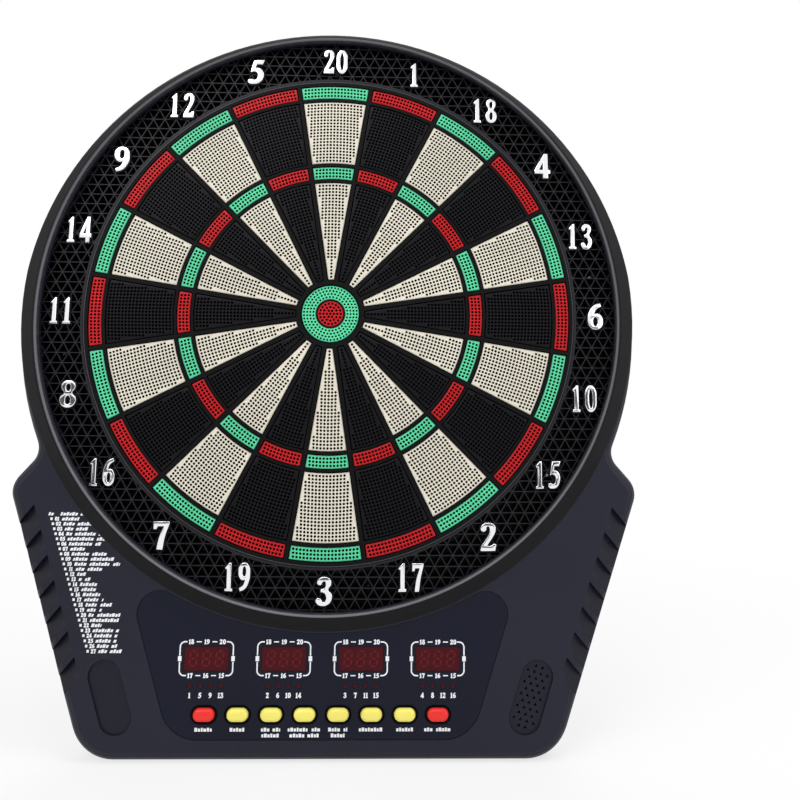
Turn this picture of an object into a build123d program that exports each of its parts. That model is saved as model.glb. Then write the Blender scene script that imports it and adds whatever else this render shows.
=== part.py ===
"""Electronic dartboard cabinet: moulded housing, web, scoring segments, panel and electronics.

Millimetres. The origin is on the bull axis at the wall face, +Z is up and the front looks along -Y.
A height in this file is a distance from the wall face towards the front.
"""

from math import asin, cos, hypot, radians, sin, tan
import os

from build123d import *

os.makedirs("parts", exist_ok=True)

# ---- clearances and walls ----
seat_gap = 0.3          # between pieces that rest against each other
slide_gap = 0.35        # round a key or a button in its opening
side_wall = 2.4
face_wall = 3.0
back_wall = 2.5

# ---- heights above the wall face ----
parting_height = 9.0
face_height = 26.0
crest_height = 31.0
key_face_height = 22.5
web_proud = 0.5         # the web stands this much in front of the keys
web_depth = 8.8

# ---- housing outline ----
rim_width = 14.0        # from the rim's lip to the edge of the round head
head_drop = 7.5         # centre of the round head below the bull
neck_radius = 13.0
flare_angle = 41.0
flare_run = 42.0
shoulder_step = 0.2     # the shoulders stop this much short of the head's radius
shoulder_z = -120.8
shoulder_radius = 15.0
side_angle = 18.9
foot_drop = 14.0        # below the panel
foot_radius = 30.0
body_round = 8.0
head_round = 8.0
back_round = 1.6

# ---- rim round the target ----
lip_wall = 2.2
crest_width = 1.4
slope_run = 12.3        # from the lip to where the rim's slope runs out into the face

# ---- target ----
sector_count = 20
numbers = (20, 1, 18, 4, 13, 6, 10, 15, 2, 17, 3, 19, 7, 16, 8, 11, 14, 9, 12, 5)
target_radius = 170.3   # outside of the double ring
double_width = 9.6
treble_radius = 108.4   # outside of the treble ring
treble_width = 9.4
ring_web = 2.5          # web between two rings of keys
radial_web = 2.6
bull_web = 3.7
outer_bull_radius = 20.8
inner_bull_radius = 9.65
bull_gap = 0.3
ledge_reach = 1.15
ledge_thickness = 1.5
key_travel = 1.0
bull_ledge = 1.3
rim_web = 3.3           # web outside the double ring
skirt_width = 5.6
skirt_top = 16.2
catch_width = 28.9      # from the web to the rim's lip
ring_front = 22.7       # front of the catch ring
ring_wall_gap = 0.4
ring_seat = 1.7         # width of the catch ring's edge behind the rim

# ---- flats that stand for round outlines, which keeps the model light ----
ring_flats = 60
bull_flats = 40
flat_radius = 50.0      # the side of a key gets one flat for each such length of its radius
hole_flats = 12
peg_flats = 6
button_flats = 8
speaker_flats = 16
rib_flats = 20
round_cuts = ((0.332, 0.801), (0.254, 0.469), (0.215, 0.215))   # parts of an edge's radius

# ---- stack behind the keys ----
mat_inset = 1.6         # from the web's rim
mat_thickness = 1.5
matrix_thickness = 0.25
plate_inset = 1.5       # from the rim's lip
plate_thickness = 2.3
stack_gap = 0.2
tail_width = 30.0

# ---- control panel ----
panel_recess = 1.0
overlay_thickness = 0.5
overlay_gap = 0.25
panel_band = 12.6       # from the rim's lip to the panel
panel_foot_drop = 15.7  # below the buttons
panel_foot_half = 98.9
panel_side_angle = 18.0
panel_top_radius = 15.0
panel_foot_radius = 25.0
display_count = 4
display_pitch = 51.0
display_drop = 16.2     # below the panel's upper edge
window_size = (29.1, 15.0)
window_ledge = 1.3
lamp_count = 4
lamp_pitch = 6.8
lamp_drop = 17.2        # below the displays
lamp_radius = 1.5
lamp_gap = 0.2
button_count = 8
button_pitch = 21.9
button_drop = 17.6      # below the lamps
button_size = (14.4, 8.6)
button_top = 28.2
button_round = 1.3
button_travel = 1.2
button_flange = 1.4
flange_thickness = 1.2
bezel_margin = 1.1

# ---- electronics ----
switch_height = 4.3
switch_size = 6.0
switch_plunger = 1.0
board_size = (196.0, 50.0)
board_rise = 1.5        # above the lamps
board_thickness = 1.6
post_radius = 3.0
post_inset = (5.0, 6.0)
middle_post_rise = 6.0
chip_size = 14.0
connector_size = (34.0, 5.0)
speaker_x = 138.4
speaker_drop = 24.0     # below the displays
speaker_radius = 17.5
speaker_depth = 8.0
basket_radius = 15.0
magnet_radius = 8.8
frame_thickness = 1.5
cone_depth = 2.5
cradle_wall = 1.6
cradle_depth = 5.0
jack_x = 70.0
jack_height = 14.0
jack_hole_radius = 4.2
jack_size = (9.0, 13.0, 9.4)
jack_bore_radius = 3.1
jack_bore_depth = 9.0
jack_pin_radius = 1.0
lead_radius = 0.9
lead_rise = 4.5         # how far a lead leaves its part before it turns
lead_run = 17.0

# ---- recesses, grille and grips ----
oblong_size = (48.7, 21.3)
oblong_tilt = 18.3
oblong_depth = 1.4
grille_rows = 11
grille_row_pitch = 3.9
grille_column_pitch = 4.5
grille_hole_radius = 1.35
grip_count = 7
grip_pitch = 17.2
grip_start = 17.6
grip_inset = 15.15
grip_angle = 58.5
grip_depth = 2.4
grip_ramp = 13.0
grip_fall = 0.22

# ---- screws ----
screw_radius = 1.2
pilot_gap = 0.05
clear_gap = 0.3
screw_head_radius = 2.0
screw_head_height = 1.6
head_gap = 0.2
boss_radius = 2.6
body_boss_radius = 3.6
rim_boss_run = 2.5      # outside the rim's lip
rim_boss_angles = (90, 48, 132, 10, 170)
shoulder_boss = (21.3, 1.2)     # in and down from the shoulder
side_boss = (150.0, 75.2)       # from the middle, and down from the shoulder
foot_boss = (104.0, 8.8)        # from the middle, and up from the foot
target_screw_run = 16.4         # outside the web
target_screw_count = 8
thread_depth = 8.0

# ---- wall fixing ----
keyhole_spacing = 240.0
keyhole_z = 110.0
keyhole_radius = 5.0
keyhole_slot = 4.6
keyhole_rise = 9.0

# ---- worked out from the sizes above: the target ----
half_sector = 180 / sector_count
double_ring = (target_radius - double_width, target_radius)
treble_ring = (treble_radius - treble_width, treble_radius)
outer_single = (treble_ring[1] + ring_web, double_ring[0] - ring_web)
inner_single = (outer_bull_radius + bull_web, treble_ring[0] - ring_web)
key_rings = (double_ring, outer_single, treble_ring, inner_single)
web_rim_radius = target_radius + rim_web
lip_radius = web_rim_radius + catch_width
mat_radius = web_rim_radius - mat_inset
plate_radius = lip_radius - plate_inset
target_screw_radius = web_rim_radius + target_screw_run
rim_boss_radius = lip_radius + rim_boss_run

# ---- the housing and its panel ----
head_radius = lip_radius + rim_width
slope_radius = lip_radius + slope_run
shoulder_x = head_radius - shoulder_step
panel_arc_radius = lip_radius + panel_band
display_z = -panel_arc_radius - display_drop
lamp_z = display_z - lamp_drop
button_z = lamp_z - button_drop
panel_foot_z = button_z - panel_foot_drop
foot_z = panel_foot_z - foot_drop
board_z = lamp_z + board_rise
speaker_z = display_z - speaker_drop

# ---- the heights ----
ceiling_height = face_height - face_wall
web_front = key_face_height + web_proud
web_back = web_front - web_depth
key_back = web_back - seat_gap - ledge_thickness
mat_front = key_back - key_travel - seat_gap
mat_back = mat_front - mat_thickness
matrix_front = mat_back - stack_gap
matrix_back = matrix_front - matrix_thickness
stack_base = matrix_back - stack_gap
plate_back = stack_base - plate_thickness
ring_back = matrix_front + stack_gap
ring_outer = lip_radius + lip_wall + ring_seat
recess_floor = face_height - panel_recess
overlay_front = recess_floor + overlay_thickness
flange_top = ceiling_height - seat_gap
flange_bottom = flange_top - flange_thickness
board_front = flange_bottom - button_travel - seat_gap - switch_height
board_back = board_front - board_thickness
speaker_front = ceiling_height - seat_gap
side_gap = radial_web / 2 + slide_gap

# ---- places ----
display_xs = [display_pitch * (i - (display_count - 1) / 2) for i in range(display_count)]
lamp_xs = [x + lamp_pitch * (i - (lamp_count - 1) / 2) for x in display_xs for i in range(lamp_count)]
button_xs = [button_pitch * (i - (button_count - 1) / 2) for i in range(button_count)]
display_places = [(x, display_z) for x in display_xs]
lamp_places = [(x, lamp_z) for x in lamp_xs]
button_places = [(x, button_z) for x in button_xs]
rim_boss_places = [
    (rim_boss_radius * cos(radians(a)), rim_boss_radius * sin(radians(a))) for a in rim_boss_angles
]
body_boss_places = [
    (side * x, z)
    for x, z in (
        (shoulder_x - shoulder_boss[0], shoulder_z - shoulder_boss[1]),
        (side_boss[0], shoulder_z - side_boss[1]),
        (foot_boss[0], foot_z + foot_boss[1]),
    )
    for side in (-1, 1)
]
target_screw_angles = [half_sector + 360 * i / target_screw_count for i in range(target_screw_count)]
target_screw_places = [
    (target_screw_radius * cos(radians(a)), target_screw_radius * sin(radians(a)))
    for a in target_screw_angles
]
post_reach = (board_size[0] / 2 - post_inset[0], board_size[1] / 2 - post_inset[1])
post_places = [(x * post_reach[0], board_z + z * post_reach[1]) for x in (-1, 1) for z in (-1, 1)]
post_places.append((0, board_z + middle_post_rise))
pilot_radius = screw_radius + pilot_gap
clear_radius = screw_radius + clear_gap


def level(height):
    """Sketch plane parallel to the wall: local X is X, local Y is Z, and it looks to the front."""
    return Plane.XZ.offset(height)


def housing_outline(inset=0.0):
    """Round head on a tapered body, with hollow necks and round shoulders and feet."""
    foot_x = shoulder_x - (shoulder_z - foot_z) * tan(radians(side_angle))
    flare_x = shoulder_x - flare_run * sin(radians(flare_angle))
    flare_z = shoulder_z + flare_run * cos(radians(flare_angle))
    right = [(foot_x, foot_z), (shoulder_x, shoulder_z), (flare_x, flare_z)]
    left = [(-x, z) for x, z in reversed(right)]
    with BuildSketch() as outline:
        with Locations((0, -head_drop)):
            Circle(head_radius)
        Polygon(*right, *left, align=None)
        corners = outline.vertices()
        necks = corners.filter_by(lambda v: abs(hypot(v.X, v.Y + head_drop) - head_radius) < 0.01)
        fillet(necks.filter_by(lambda v: v.Y < -head_drop), neck_radius)
        fillet(outline.vertices().filter_by(lambda v: abs(v.Y - shoulder_z) < 0.01), shoulder_radius)
        fillet(outline.vertices().filter_by(lambda v: abs(v.Y - foot_z) < 0.01), foot_radius)
        if inset:
            offset(amount=-inset, kind=Kind.ARC, mode=Mode.REPLACE)
    return outline.sketch


def panel_outline(inset=0.0):
    """Panel below the target: its top follows the target, its sides taper with the body."""
    rise = -panel_foot_z - panel_arc_radius * cos(radians(45))
    top_half = panel_foot_half + rise * tan(radians(panel_side_angle))
    with BuildSketch() as outline:
        Polygon(
            (-panel_foot_half, panel_foot_z),
            (panel_foot_half, panel_foot_z),
            (top_half, panel_foot_z + rise),
            (-top_half, panel_foot_z + rise),
            align=None,
        )
        Circle(panel_arc_radius, mode=Mode.SUBTRACT)
        fillet(outline.vertices().group_by(Axis.Y)[0], panel_foot_radius)
        fillet(outline.vertices().group_by(Axis.Y)[-1], panel_top_radius)
        if inset:
            offset(amount=-inset, kind=Kind.ARC, mode=Mode.REPLACE)
    return outline.sketch


def sector(inner, outer, gap):
    """Cell between two radii whose sides lie a constant gap inside the sector's two radial lines."""
    points = []
    for radius, way in ((inner, 1), (outer, -1)):
        half = radians(half_sector) - asin(gap / radius)
        flats = max(1, round(radius / flat_radius))
        for i in range(flats + 1):
            angle = way * half * (2 * i / flats - 1)
            points.append((radius * sin(angle), radius * cos(angle)))
    with BuildSketch() as cell:
        Polygon(*points, align=None)
    return cell.sketch


def key_flange(inner, outer):
    """Straight-edged flange behind a key that reaches under the webs on both sides of it."""
    half = radians(half_sector)
    near = inner * cos(half)
    far = outer + seat_gap / 3
    gap = (side_gap - ledge_reach) / cos(half)
    near_half = near * tan(half) - gap
    far_half = far * tan(half) - gap
    with BuildSketch() as flange:
        Polygon((-near_half, near), (near_half, near), (far_half, far), (-far_half, far), align=None)
    return flange.sketch


def oblong(side, margin=0.0):
    """Upright oblong whose top leans outwards, on the left (-1) or the right (+1)."""
    with BuildSketch() as shape:
        with Locations((side * speaker_x, speaker_z)):
            SlotOverall(
                oblong_size[0] + 2 * margin,
                oblong_size[1] + 2 * margin,
                rotation=90 - side * oblong_tilt,
            )
    return shape.sketch


def button_outline(margin=0.0):
    """Oblong outline of a button cap with its round ends in flats, grown by a margin."""
    reach = (button_size[0] - button_size[1]) / 2
    radius = (button_size[1] / 2 + margin) / cos(radians(180 / button_flats))
    points = []
    for i in range(button_flats):
        angle = radians(360 * (i + 0.5) / button_flats)
        side = 1 if cos(angle) > 0 else -1
        points.append((side * reach + radius * cos(angle), radius * sin(angle)))
    with BuildSketch() as shape:
        Polygon(*points, align=None)
    return shape.sketch


def soften(form, radius):
    """Round the front edge of a form in three flats."""
    for across, down in round_cuts:
        front = form.faces().sort_by(Axis.Y)[0]
        chamfer(front.edges(), radius * across, radius * down, reference=front)


# ---- forms that several pieces share ----
with BuildPart() as housing_form:
    with BuildSketch(level(parting_height)):
        add(housing_outline())
    extrude(amount=face_height - parting_height)
    soften(housing_form, body_round)

with BuildPart() as rim_form:
    with BuildSketch(level(parting_height)):
        with Locations((0, -head_drop)):
            Circle(head_radius)
    extrude(amount=crest_height - parting_height)
    soften(rim_form, head_round)
    with BuildSketch(Plane.XY):
        with BuildLine():
            Polyline(
                (lip_radius, -parting_height),
                (lip_radius, crest_width - crest_height),
                (lip_radius + crest_width, -crest_height),
                (lip_radius + 2 * crest_width, -crest_height),
                (slope_radius, -face_height),
                (slope_radius, -parting_height),
                close=True,
            )
        make_face()
    revolve(axis=Axis.Y, mode=Mode.INTERSECT)

with BuildPart() as housing_cavity:
    with BuildSketch(level(parting_height)):
        add(housing_outline(side_wall))
    extrude(amount=ceiling_height - parting_height)
    chamfer(housing_cavity.faces().sort_by(Axis.Y)[0].edges(), body_round - side_wall)

side_way = Vector(-sin(radians(side_angle)), 0, -cos(radians(side_angle)))
outward = Vector(cos(radians(side_angle)), 0, -sin(radians(side_angle)))
grip_corner = Vector(shoulder_x, -face_height, shoulder_z) - outward * grip_inset
grip_line = side_way * cos(radians(grip_angle)) + outward * sin(radians(grip_angle))

with BuildPart() as grip_cuts:
    for i in range(grip_count):
        start = grip_corner + side_way * (grip_start + i * grip_pitch)
        with BuildSketch(Plane(origin=start, x_dir=side_way, z_dir=outward)):
            Polygon((0, -body_round), (0, grip_depth), (grip_ramp, 0), (grip_ramp, -body_round), align=None)
        extrude(amount=2 * grip_inset, dir=grip_line + Vector(0, grip_fall, 0))
    mirror(about=Plane.YZ)

with BuildPart() as grip_backing:
    with BuildSketch(Plane(origin=grip_corner - outward * face_wall, x_dir=side_way, z_dir=outward)):
        with Locations((grip_start - face_wall, 0)):
            Rectangle(
                (grip_count - 1) * grip_pitch + grip_ramp + 2 * face_wall,
                face_wall + grip_depth + body_round,
                align=(Align.MIN, Align.MIN),
            )
    extrude(amount=2 * grip_inset)
    mirror(about=Plane.YZ)
    add(housing_form.part, mode=Mode.INTERSECT)

# ---- front shell ----
with BuildPart() as front_shell:
    add(housing_form.part)
    add(rim_form.part)
    add(housing_cavity.part, mode=Mode.SUBTRACT)
    add(grip_backing.part)
    with BuildSketch(level(parting_height)):
        Circle(lip_radius)
    extrude(amount=crest_height, mode=Mode.SUBTRACT)
    with BuildSketch(level(parting_height)):
        RegularPolygon(ring_outer + seat_gap, ring_flats)
    extrude(amount=ceiling_height - parting_height, mode=Mode.SUBTRACT)
    add(grip_cuts.part, mode=Mode.SUBTRACT)
    # panel pocket with its windows, lamp slots and button openings
    with BuildSketch(level(face_height)):
        add(panel_outline())
    extrude(amount=-panel_recess, mode=Mode.SUBTRACT)
    with BuildSketch(level(face_height)):
        with Locations(*display_places):
            Rectangle(window_size[0] - 2 * window_ledge, window_size[1] - 2 * window_ledge)
        with Locations(*[(x, lamp_z) for x in display_xs]):
            Rectangle(lamp_count * lamp_pitch - lamp_radius, 2 * lamp_radius + 2 * lamp_gap)
        with Locations(*button_places):
            add(button_outline(slide_gap))
    extrude(amount=-face_wall - seat_gap, mode=Mode.SUBTRACT)
    # oblong thumb recess on the left and grille recess on the right
    with BuildSketch(level(face_height)):
        add(oblong(-1))
        add(oblong(1))
    extrude(amount=-oblong_depth, mode=Mode.SUBTRACT)
    with BuildSketch(level(face_height)):
        with Locations(Location((speaker_x, speaker_z), -oblong_tilt)):
            for row in range(grille_rows):
                shift = (row - (grille_rows - 1) / 2) * grille_row_pitch
                columns = 4 if row % 2 else 3
                if row in (0, grille_rows - 1):
                    columns = 2
                with Locations((0, shift)):
                    with GridLocations(grille_column_pitch, 1, columns, 1):
                        RegularPolygon(grille_hole_radius, 3, rotation=90)
    extrude(amount=-face_wall, mode=Mode.SUBTRACT)
    # ring that carries the speaker
    with BuildSketch(level(ceiling_height)):
        with Locations((speaker_x, speaker_z)):
            RegularPolygon(speaker_radius + slide_gap + cradle_wall, speaker_flats)
            RegularPolygon(speaker_radius + slide_gap, speaker_flats, mode=Mode.SUBTRACT)
    extrude(amount=-cradle_depth)
    # screw bosses under the rim and in the body
    with BuildSketch(level(ceiling_height)):
        with Locations(*rim_boss_places):
            RegularPolygon(boss_radius, hole_flats)
        with Locations(*body_boss_places):
            RegularPolygon(body_boss_radius, peg_flats)
    extrude(amount=parting_height + seat_gap - ceiling_height)
    with BuildSketch(level(parting_height)):
        with Locations(*rim_boss_places, *body_boss_places):
            RegularPolygon(pilot_radius, peg_flats)
    extrude(amount=seat_gap + thread_depth, mode=Mode.SUBTRACT)
    # posts that carry the circuit board
    with BuildSketch(level(ceiling_height)):
        with Locations(*post_places):
            RegularPolygon(post_radius, peg_flats)
    extrude(amount=board_front + stack_gap - ceiling_height)
    with BuildSketch(level(board_front)):
        with Locations(*post_places):
            RegularPolygon(pilot_radius, peg_flats)
    extrude(amount=ceiling_height - board_front - 1, mode=Mode.SUBTRACT)
    # pad over the power inlet and the inlet's hole in the bottom wall
    with BuildSketch(level(ceiling_height)):
        with Locations((jack_x, foot_z + side_wall + seat_gap + jack_size[1] / 2)):
            Rectangle(jack_size[0], jack_size[1] - 2)
    extrude(amount=jack_height + jack_size[2] / 2 + stack_gap - ceiling_height)
    with BuildSketch(Plane.XY.offset(foot_z + side_wall)):
        with Locations((jack_x, -jack_height)):
            Rectangle(jack_size[0] + 2 * seat_gap, jack_size[2] + 2 * stack_gap)
    extrude(amount=jack_size[1] + seat_gap, mode=Mode.SUBTRACT)
    with BuildSketch(Plane.XY.offset(foot_z)):
        with Locations((jack_x, -jack_height)):
            Circle(jack_hole_radius)
    extrude(amount=side_wall, mode=Mode.SUBTRACT)
front_shell.part.label = "front_shell"

# ---- rear shell ----
with BuildPart() as rear_shell:
    with BuildSketch(level(0)):
        add(housing_outline())
    extrude(amount=parting_height)
    chamfer(rear_shell.faces().sort_by(Axis.Y)[-1].edges(), back_round)
    with BuildSketch(level(back_wall)):
        add(housing_outline(side_wall))
    extrude(amount=parting_height, mode=Mode.SUBTRACT)
    # ribs that carry the backing plate
    rib_height = plate_back - stack_gap - back_wall
    with BuildSketch(level(back_wall)):
        for ring in (target_screw_radius - screw_head_radius - clear_gap, plate_radius / 2):
            RegularPolygon(ring, rib_flats)
            RegularPolygon(ring - cradle_wall, rib_flats, mode=Mode.SUBTRACT)
        with PolarLocations(plate_radius * 3 / 4, 8, start_angle=half_sector * 2.5):
            Rectangle(plate_radius / 2 - 2 * skirt_width, cradle_wall)
    extrude(amount=rib_height)
    # screw tubes
    with BuildSketch(level(back_wall)):
        with Locations(*rim_boss_places):
            RegularPolygon(boss_radius, hole_flats)
        with Locations(*body_boss_places):
            RegularPolygon(body_boss_radius, peg_flats)
    extrude(amount=parting_height - back_wall)
    with BuildSketch(level(0)):
        with Locations(*rim_boss_places, *body_boss_places):
            RegularPolygon(clear_radius, peg_flats)
    extrude(amount=parting_height, mode=Mode.SUBTRACT)
    with BuildSketch(level(0)):
        with Locations(*rim_boss_places, *body_boss_places):
            RegularPolygon(screw_head_radius + head_gap, hole_flats)
    extrude(amount=screw_head_height + seat_gap, mode=Mode.SUBTRACT)
    # pad under the power inlet
    with BuildSketch(level(back_wall)):
        with Locations((jack_x, foot_z + side_wall + seat_gap + jack_size[1] / 2)):
            Rectangle(jack_size[0], jack_size[1] - 2)
    extrude(amount=jack_height - jack_size[2] / 2 - stack_gap - back_wall)
    # keyholes for two wall screws
    with BuildSketch(level(0)):
        with Locations((-keyhole_spacing / 2, keyhole_z), (keyhole_spacing / 2, keyhole_z)):
            Circle(keyhole_radius)
            with Locations((0, (keyhole_radius + keyhole_rise) / 2)):
                SlotOverall(keyhole_radius + keyhole_rise, keyhole_slot, rotation=90)
    extrude(amount=back_wall, mode=Mode.SUBTRACT)
rear_shell.part.label = "rear_shell"

# ---- catch ring round the target ----
with BuildPart() as catch_ring:
    with BuildSketch(level(ring_back)):
        RegularPolygon(ring_outer, ring_flats)
        RegularPolygon(web_rim_radius + ring_wall_gap, ring_flats, mode=Mode.SUBTRACT)
    extrude(amount=ring_front - ring_back)
    with BuildSketch(level(ring_back)):
        RegularPolygon(web_rim_radius + skirt_width + ring_wall_gap, ring_flats)
    extrude(amount=skirt_top + seat_gap - ring_back, mode=Mode.SUBTRACT)
    with BuildSketch(level(ring_back)):
        with Locations(*rim_boss_places):
            RegularPolygon(boss_radius + seat_gap, hole_flats)
    extrude(amount=ring_front, mode=Mode.SUBTRACT)
    with BuildSketch(level(ring_back)):
        with Locations(*target_screw_places):
            RegularPolygon(pilot_radius, peg_flats)
    extrude(amount=thread_depth, mode=Mode.SUBTRACT)
catch_ring.part.label = "catch_ring"

# ---- web that guides the keys ----
with BuildPart() as spider:
    with BuildSketch(level(web_back)):
        RegularPolygon(web_rim_radius, ring_flats)
    extrude(amount=web_depth)
    with BuildSketch(level(ring_back)):
        RegularPolygon(web_rim_radius + skirt_width, ring_flats)
    extrude(amount=skirt_top - ring_back)
    with BuildSketch(level(ring_back)):
        RegularPolygon(web_rim_radius, ring_flats)
    extrude(amount=web_back - ring_back, mode=Mode.SUBTRACT)
    with BuildSketch(level(web_back)):
        RegularPolygon(outer_bull_radius + slide_gap, bull_flats)
        with PolarLocations(0, sector_count):
            for inner, outer in key_rings:
                add(sector(inner - slide_gap, outer + slide_gap, radial_web / 2))
    extrude(amount=web_depth, mode=Mode.SUBTRACT)
spider.part.label = "spider"

# ---- scoring keys: four of one number ----
with BuildPart() as key_set:
    for inner, outer in key_rings:
        with BuildSketch(level(key_back)):
            add(key_flange(inner, outer))
        extrude(amount=ledge_thickness)
        with BuildSketch(level(key_back + ledge_thickness)):
            add(sector(inner, outer, side_gap))
        extrude(amount=key_face_height - key_back - ledge_thickness)

key_sets = []
for i, number in enumerate(numbers):
    turned = key_set.part.rotate(Axis.Y, i * 2 * half_sector)
    turned.label = f"keys_{number}"
    key_sets.append(turned)

# ---- bull keys ----
bull_stop = key_back + ledge_thickness + key_travel + slide_gap
with BuildPart() as outer_bull:
    with BuildSketch(level(key_back)):
        RegularPolygon(outer_bull_radius + ledge_reach, bull_flats)
    extrude(amount=ledge_thickness)
    with BuildSketch(level(key_back)):
        RegularPolygon(outer_bull_radius, bull_flats)
    extrude(amount=key_face_height - key_back)
    with BuildSketch(level(key_back)):
        RegularPolygon(inner_bull_radius + bull_gap, bull_flats)
    extrude(amount=key_face_height - key_back, mode=Mode.SUBTRACT)
    with BuildSketch(level(key_back)):
        RegularPolygon(inner_bull_radius + bull_ledge + 2 * bull_gap, bull_flats)
    extrude(amount=bull_stop - key_back, mode=Mode.SUBTRACT)
outer_bull.part.label = "outer_bull"

with BuildPart() as inner_bull:
    with BuildSketch(level(key_back)):
        RegularPolygon(inner_bull_radius + bull_ledge, bull_flats)
    extrude(amount=ledge_thickness)
    with BuildSketch(level(key_back)):
        RegularPolygon(inner_bull_radius, bull_flats)
    extrude(amount=key_face_height - key_back)
inner_bull.part.label = "inner_bull"

# ---- return mat, sensor film and backing plate ----
with BuildPart() as return_mat:
    with BuildSketch(level(mat_back)):
        RegularPolygon(mat_radius, ring_flats)
    extrude(amount=mat_thickness)
return_mat.part.label = "return_mat"

tail_end = board_z + board_size[1] / 2 - 8
with BuildPart() as sensor_matrix:
    with BuildSketch(level(matrix_back)):
        RegularPolygon(mat_radius, ring_flats)
        with Locations((0, tail_end)):
            Rectangle(tail_width, -tail_end, align=(Align.CENTER, Align.MIN))
    extrude(amount=matrix_thickness)
sensor_matrix.part.label = "sensor_matrix"

with BuildPart() as backing_plate:
    with BuildSketch(level(plate_back)):
        RegularPolygon(plate_radius, ring_flats)
        with Locations(*target_screw_places):
            RegularPolygon(clear_radius, peg_flats, mode=Mode.SUBTRACT)
    extrude(amount=plate_thickness)
backing_plate.part.label = "backing_plate"


def screw_set(places, head_back, shank_front):
    """Pan-head screws whose heads start at one height and whose shanks end at another."""
    with BuildPart() as screws:
        with BuildSketch(level(head_back)):
            with Locations(*places):
                RegularPolygon(screw_head_radius, peg_flats)
        extrude(amount=screw_head_height)
        with BuildSketch(level(head_back + screw_head_height)):
            with Locations(*places):
                RegularPolygon(screw_radius, peg_flats)
        extrude(amount=shank_front - head_back - screw_head_height)
    return screws.part


target_screws = screw_set(target_screw_places, plate_back - screw_head_height, ring_back + thread_depth - 1)
target_screws.label = "target_screws"
housing_screws = screw_set(
    rim_boss_places + list(body_boss_places), seat_gap, parting_height + seat_gap + thread_depth - 1
)
housing_screws.label = "housing_screws"
board_screws = screw_set(post_places, board_back - screw_head_height, board_front + thread_depth / 2)
board_screws.label = "board_screws"

# ---- panel overlay with its windows ----
with BuildPart() as panel_overlay:
    with BuildSketch(level(recess_floor)):
        add(panel_outline(overlay_gap))
        with Locations(*display_places):
            Rectangle(
                window_size[0] + 2 * overlay_gap, window_size[1] + 2 * overlay_gap, mode=Mode.SUBTRACT
            )
        with Locations(*lamp_places):
            RegularPolygon(lamp_radius + lamp_gap, peg_flats, mode=Mode.SUBTRACT)
        with Locations(*button_places):
            add(button_outline(bezel_margin), mode=Mode.SUBTRACT)
    extrude(amount=overlay_thickness)
panel_overlay.part.label = "panel_overlay"

with BuildPart() as display_windows:
    with BuildSketch(level(recess_floor)):
        with Locations(*display_places):
            Rectangle(*window_size)
    extrude(amount=overlay_thickness)
display_windows.part.label = "display_windows"

# ---- circuit board and what is soldered to it ----
with BuildPart() as main_board:
    with BuildSketch(level(board_back)):
        with Locations((0, board_z)):
            Rectangle(*board_size)
        with Locations(*post_places):
            RegularPolygon(clear_radius, peg_flats, mode=Mode.SUBTRACT)
    extrude(amount=board_thickness)
main_board.part.label = "main_board"

displays = []
for i, place in enumerate(display_places):
    with BuildPart() as display:
        with BuildSketch(level(board_front)):
            with Locations(place):
                Rectangle(window_size[0] - 2 * window_ledge - 1, window_size[1] - 2 * window_ledge - 1)
        extrude(amount=recess_floor - seat_gap - board_front)
    display.part.label = f"display_{i + 1}"
    displays.append(display.part)

with BuildPart() as player_lamps:
    with BuildSketch(level(board_front)):
        with Locations(*lamp_places):
            RegularPolygon(lamp_radius, peg_flats)
    extrude(amount=overlay_front - board_front)
player_lamps.part.label = "player_lamps"

with BuildPart() as tact_switches:
    with BuildSketch(level(board_front)):
        with Locations(*button_places):
            Rectangle(switch_size, switch_size)
    extrude(amount=switch_height - switch_plunger)
    with BuildSketch(level(board_front)):
        with Locations(*button_places):
            RegularPolygon(switch_size / 4, peg_flats)
    extrude(amount=switch_height)
tact_switches.part.label = "tact_switches"

with BuildPart() as matrix_connector:
    with BuildSketch(level(matrix_front + stack_gap)):
        with Locations((0, tail_end + connector_size[1] / 2)):
            Rectangle(*connector_size)
    extrude(amount=board_back - matrix_front - stack_gap)
matrix_connector.part.label = "matrix_connector"

with BuildPart() as controller_chip:
    with BuildSketch(level(board_back)):
        with Locations((0, board_z - board_size[1] / 5)):
            Rectangle(chip_size, chip_size)
    extrude(amount=-board_thickness)
controller_chip.part.label = "controller_chip"

# ---- speaker ----
with BuildPart() as speaker:
    for radius, back, depth in (
        (speaker_radius, frame_thickness, frame_thickness),
        (basket_radius, speaker_depth / 2, speaker_depth / 2),
        (magnet_radius, speaker_depth, speaker_depth / 2),
    ):
        with BuildSketch(level(speaker_front - back)):
            with Locations((speaker_x, speaker_z)):
                RegularPolygon(radius, speaker_flats)
        extrude(amount=depth)
    # hollow of the cone
    with BuildSketch(level(speaker_front)):
        with Locations((speaker_x, speaker_z)):
            RegularPolygon(basket_radius - cradle_wall, speaker_flats)
    extrude(amount=-cone_depth, mode=Mode.SUBTRACT)
speaker.part.label = "speaker"

# ---- power inlet ----
jack_front_z = foot_z + side_wall + seat_gap
with BuildPart() as dc_jack:
    with BuildSketch(Plane.XY.offset(jack_front_z)):
        with Locations((jack_x, -jack_height)):
            Rectangle(jack_size[0], jack_size[2])
    extrude(amount=jack_size[1])
    with BuildSketch(Plane.XY.offset(jack_front_z)):
        with Locations((jack_x, -jack_height)):
            RegularPolygon(jack_bore_radius, hole_flats)
            RegularPolygon(jack_pin_radius, peg_flats, mode=Mode.SUBTRACT)
    extrude(amount=jack_bore_depth, mode=Mode.SUBTRACT)
dc_jack.part.label = "dc_jack"


def lead(points):
    """Plain lead that follows straight runs between two solder points."""
    with BuildPart() as tube:
        with BuildLine() as route:
            Polyline(*points)
        with BuildSketch(Plane(origin=route.line @ 0, z_dir=route.line % 0)):
            RegularPolygon(lead_radius, peg_flats)
        sweep(transition=Transition.RIGHT)
    return tube.part


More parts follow.
